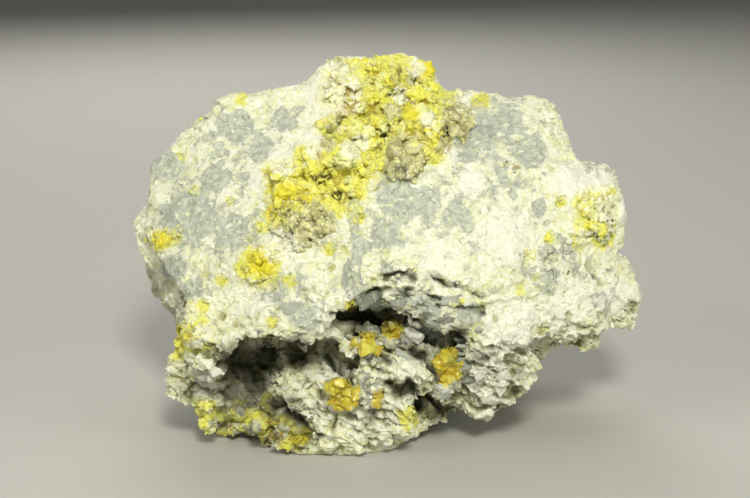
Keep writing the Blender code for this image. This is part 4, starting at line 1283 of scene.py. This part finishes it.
class SPECIMEN_OT_calcite(bpy.types.Operator):
    """Builds the calcite clusters"""

    bl_idname = "specimen.calcite"
    bl_label = "Calcite clusters"

    def execute(self, context):
        sizes = context.scene.specimen_sizes
        material = sugary_calcite(context.scene.specimen_colours)
        rng = random.Random(33)
        shapes = [rounded_shape(0.35, 1), rounded_shape(0.3, 2)]
        for node in CALCITE_NODES:
            crust = build_crust(node, calcite_lumps, sizes)
            small = scatter(node + "_small", shapes, seats_on(crust, 90, rng), (1.8, 4.2), rng)
            only(small)
            bpy.ops.object.shade_smooth()
            finish_piece(join([crust, small], node + "_crust"), material, "calcite", node)
        return {"FINISHED"}


class SPECIMEN_OT_single_pieces(bpy.types.Operator):
    """Sets the limestone blocks and the largest lumps of sulfur and calcite"""

    bl_idname = "specimen.single_pieces"
    bl_label = "Blocks and lumps"

    def execute(self, context):
        trees = [tree_of(obj) for obj in bpy.data.objects if obj.name.endswith(("_skin", "_crust", "_crystals"))]
        blocks = build_plates(trees)
        finish_piece(blocks, broken_limestone(context.scene.specimen_colours), "limestone")
        shapes = [sulfur_shape(0.3, 0.6, 0.85, 5), sulfur_shape(0.5, 0.6, 0.8, 5)]
        crystals = build_crystals(trees, shapes)
        finish_piece(crystals, bpy.data.materials["crystal_sulfur"], "sulfur")
        for name, lumps, material, slot, roughness, knobbly, seed in (
            ("sulfur_lumps", SULFUR_LUMPS, "massive_sulfur", "sulfur", 0.35, 0.8, 42),
            ("calcite_lumps", CALCITE_LUMPS, "sugary_calcite", "calcite", 0.25, 0.25, 43),
        ):
            piece = build_lumps(name, lumps, trees, roughness, knobbly, seed)
            only(piece)
            bpy.ops.object.shade_smooth()
            finish_piece(piece, bpy.data.materials[material], slot)
        return {"FINISHED"}


class SPECIMEN_OT_grains(bpy.types.Operator):
    """Scatters loose grains of sulfur, calcite and chalk over the rock"""

    bl_idname = "specimen.grains"
    bl_label = "Grains"

    def execute(self, context):
        scene = context.scene
        rock = bpy.data.objects.get("rock_skin")
        if rock is None:
            raise RuntimeError("Build the rock's skin before its grains")
        rng = random.Random(34)
        points = points_of(rock)
        above = ramp01(points[:, 2] / MM, 4.0, 9.0)
        sulfur = ramp01(patch_weight(points, "sulfur"), 0.2, 0.9) * above + 0.002 * above
        calcite = ramp01(patch_weight(points, "calcite"), 0.2, 0.8) * above
        crystals = [sulfur_shape(0.3, 0.6, 0.85), sulfur_shape(0.55, 0.5, 0.8)]
        seats = seats_on(rock, scene.specimen_sizes.grain_count, rng, sulfur)
        grains = scatter("sulfur_grains", crystals, seats, (0.8, 3.8), rng)
        finish_piece(grains, bpy.data.materials["massive_sulfur"], "sulfur")
        balls = scatter("calcite_balls", [rounded_shape(0.35, 3)], seats_on(rock, 220, rng, calcite), (1.6, 4.6), rng)
        finish_piece(balls, bpy.data.materials["sugary_calcite"], "calcite")
        open_rock = 1 - ramp01(attribute_of(rock, "hollow"), 0.1, 0.4)
        seats = seats_on(rock, scene.specimen_sizes.crumb_count, rng, above * open_rock * (1 - 0.7 * sulfur))
        crumbs = scatter("chalk_crumbs", [crumb_shape(5), crumb_shape(6)], seats, (0.6, 2.6), rng, sunk=0.0)
        finish_piece(crumbs, bpy.data.materials["chalky_limestone_breccia"], "limestone")
        return {"FINISHED"}


def add_light(name, place, size, power, tint):
    """A soft square light that shines at the specimen's middle."""
    data = bpy.data.lights.new(name, "AREA")
    data.size = size
    data.energy = power
    data.color = linear(tint)
    light = bpy.data.objects.new(name, data)
    light.location = place
    light.rotation_euler = (BEST_TARGET - Vector(place)).to_track_quat("-Z", "Y").to_euler()
    bpy.context.scene.collection.objects.link(light)


class SPECIMEN_OT_stage(bpy.types.Operator):
    """Lays the floor, sets the lights and places the camera"""

    bl_idname = "specimen.stage"
    bl_label = "Stage"

    def execute(self, context):
        bpy.ops.object.select_all(action="DESELECT")
        bpy.ops.mesh.primitive_plane_add(size=8.0, location=(0, 0, 0))
        floor = context.active_object
        floor.name = "floor"
        floor.data.materials.append(studio_paper(context.scene.specimen_colours))
        add_light("key", (0.12, -1.3, 1.15), 0.3, 19.5, "#fffff8")
        add_light("fill", (-1.3, -0.9, 1.0), 0.9, 9.0, "#fffff8")
        add_light("side", (1.4, -0.8, 0.7), 0.7, 6.0, "#fffff8")
        add_light("top", (0.1, 0.5, 1.7), 1.2, 4.0, "#fffffa")
        add_light("back", (-0.3, 1.5, 1.1), 1.0, 14.0, "#fffffa")
        add_light("front", (0.1, -1.6, 0.4), 0.6, 1.6, "#fffff8")
        world = bpy.data.worlds.new("studio")
        context.scene.world = world
        world.use_nodes = True
        background = world.node_tree.nodes["Background"]
        background.inputs["Color"].default_value = (*linear("#d9d9d6"), 1)
        background.inputs["Strength"].default_value = 0.1
        tilt = math.radians(BEST_ELEVATION)
        away = Vector((0, -math.cos(tilt), math.sin(tilt))) * BEST_DISTANCE
        data = bpy.data.cameras.new("camera")
        data.lens = BEST_LENS
        data.sensor_width = 36.0
        camera = bpy.data.objects.new("camera", data)
        camera.location = BEST_TARGET + away
        camera.rotation_euler = (-away).to_track_quat("-Z", "Y").to_euler()
        context.scene.collection.objects.link(camera)
        context.scene.camera = camera
        context.scene.view_settings.view_transform = "Standard"
        return {"FINISHED"}


class SPECIMEN_PT_panel(bpy.types.Panel):
    """Lists the specimen's settings and steps"""

    bl_label = "Sulfur specimen"
    bl_idname = "SPECIMEN_PT_panel"
    bl_space_type = "VIEW_3D"
    bl_region_type = "UI"
    bl_category = "Specimen"

    def draw(self, context):
        for settings in (context.scene.specimen_sizes, context.scene.specimen_colours):
            for name in settings.__annotations__:
                self.layout.prop(settings, name)
        for operator in OPERATORS:
            self.layout.operator(operator.bl_idname)


OPERATORS = (
    SPECIMEN_OT_rock,
    SPECIMEN_OT_sulfur_crusts,
    SPECIMEN_OT_sulfur_crystals,
    SPECIMEN_OT_calcite,
    SPECIMEN_OT_single_pieces,
    SPECIMEN_OT_grains,
    SPECIMEN_OT_stage,
)


def register():
    for cls in (SpecimenSizes, SpecimenColours, *OPERATORS, SPECIMEN_PT_panel):
        bpy.utils.register_class(cls)
    bpy.types.Scene.specimen_sizes = PointerProperty(type=SpecimenSizes)
    bpy.types.Scene.specimen_colours = PointerProperty(type=SpecimenColours)


def unregister():
    del bpy.types.Scene.specimen_sizes
    del bpy.types.Scene.specimen_colours
    for cls in (SPECIMEN_PT_panel, *reversed(OPERATORS), SpecimenColours, SpecimenSizes):
        bpy.utils.unregister_class(cls)


def main():
    register()
    bpy.ops.specimen.rock()
    bpy.ops.specimen.sulfur_crusts()
    bpy.ops.specimen.sulfur_crystals()
    bpy.ops.specimen.calcite()
    bpy.ops.specimen.single_pieces()
    bpy.ops.specimen.grains()
    bpy.ops.specimen.stage()


if __name__ == "__main__":
    main()
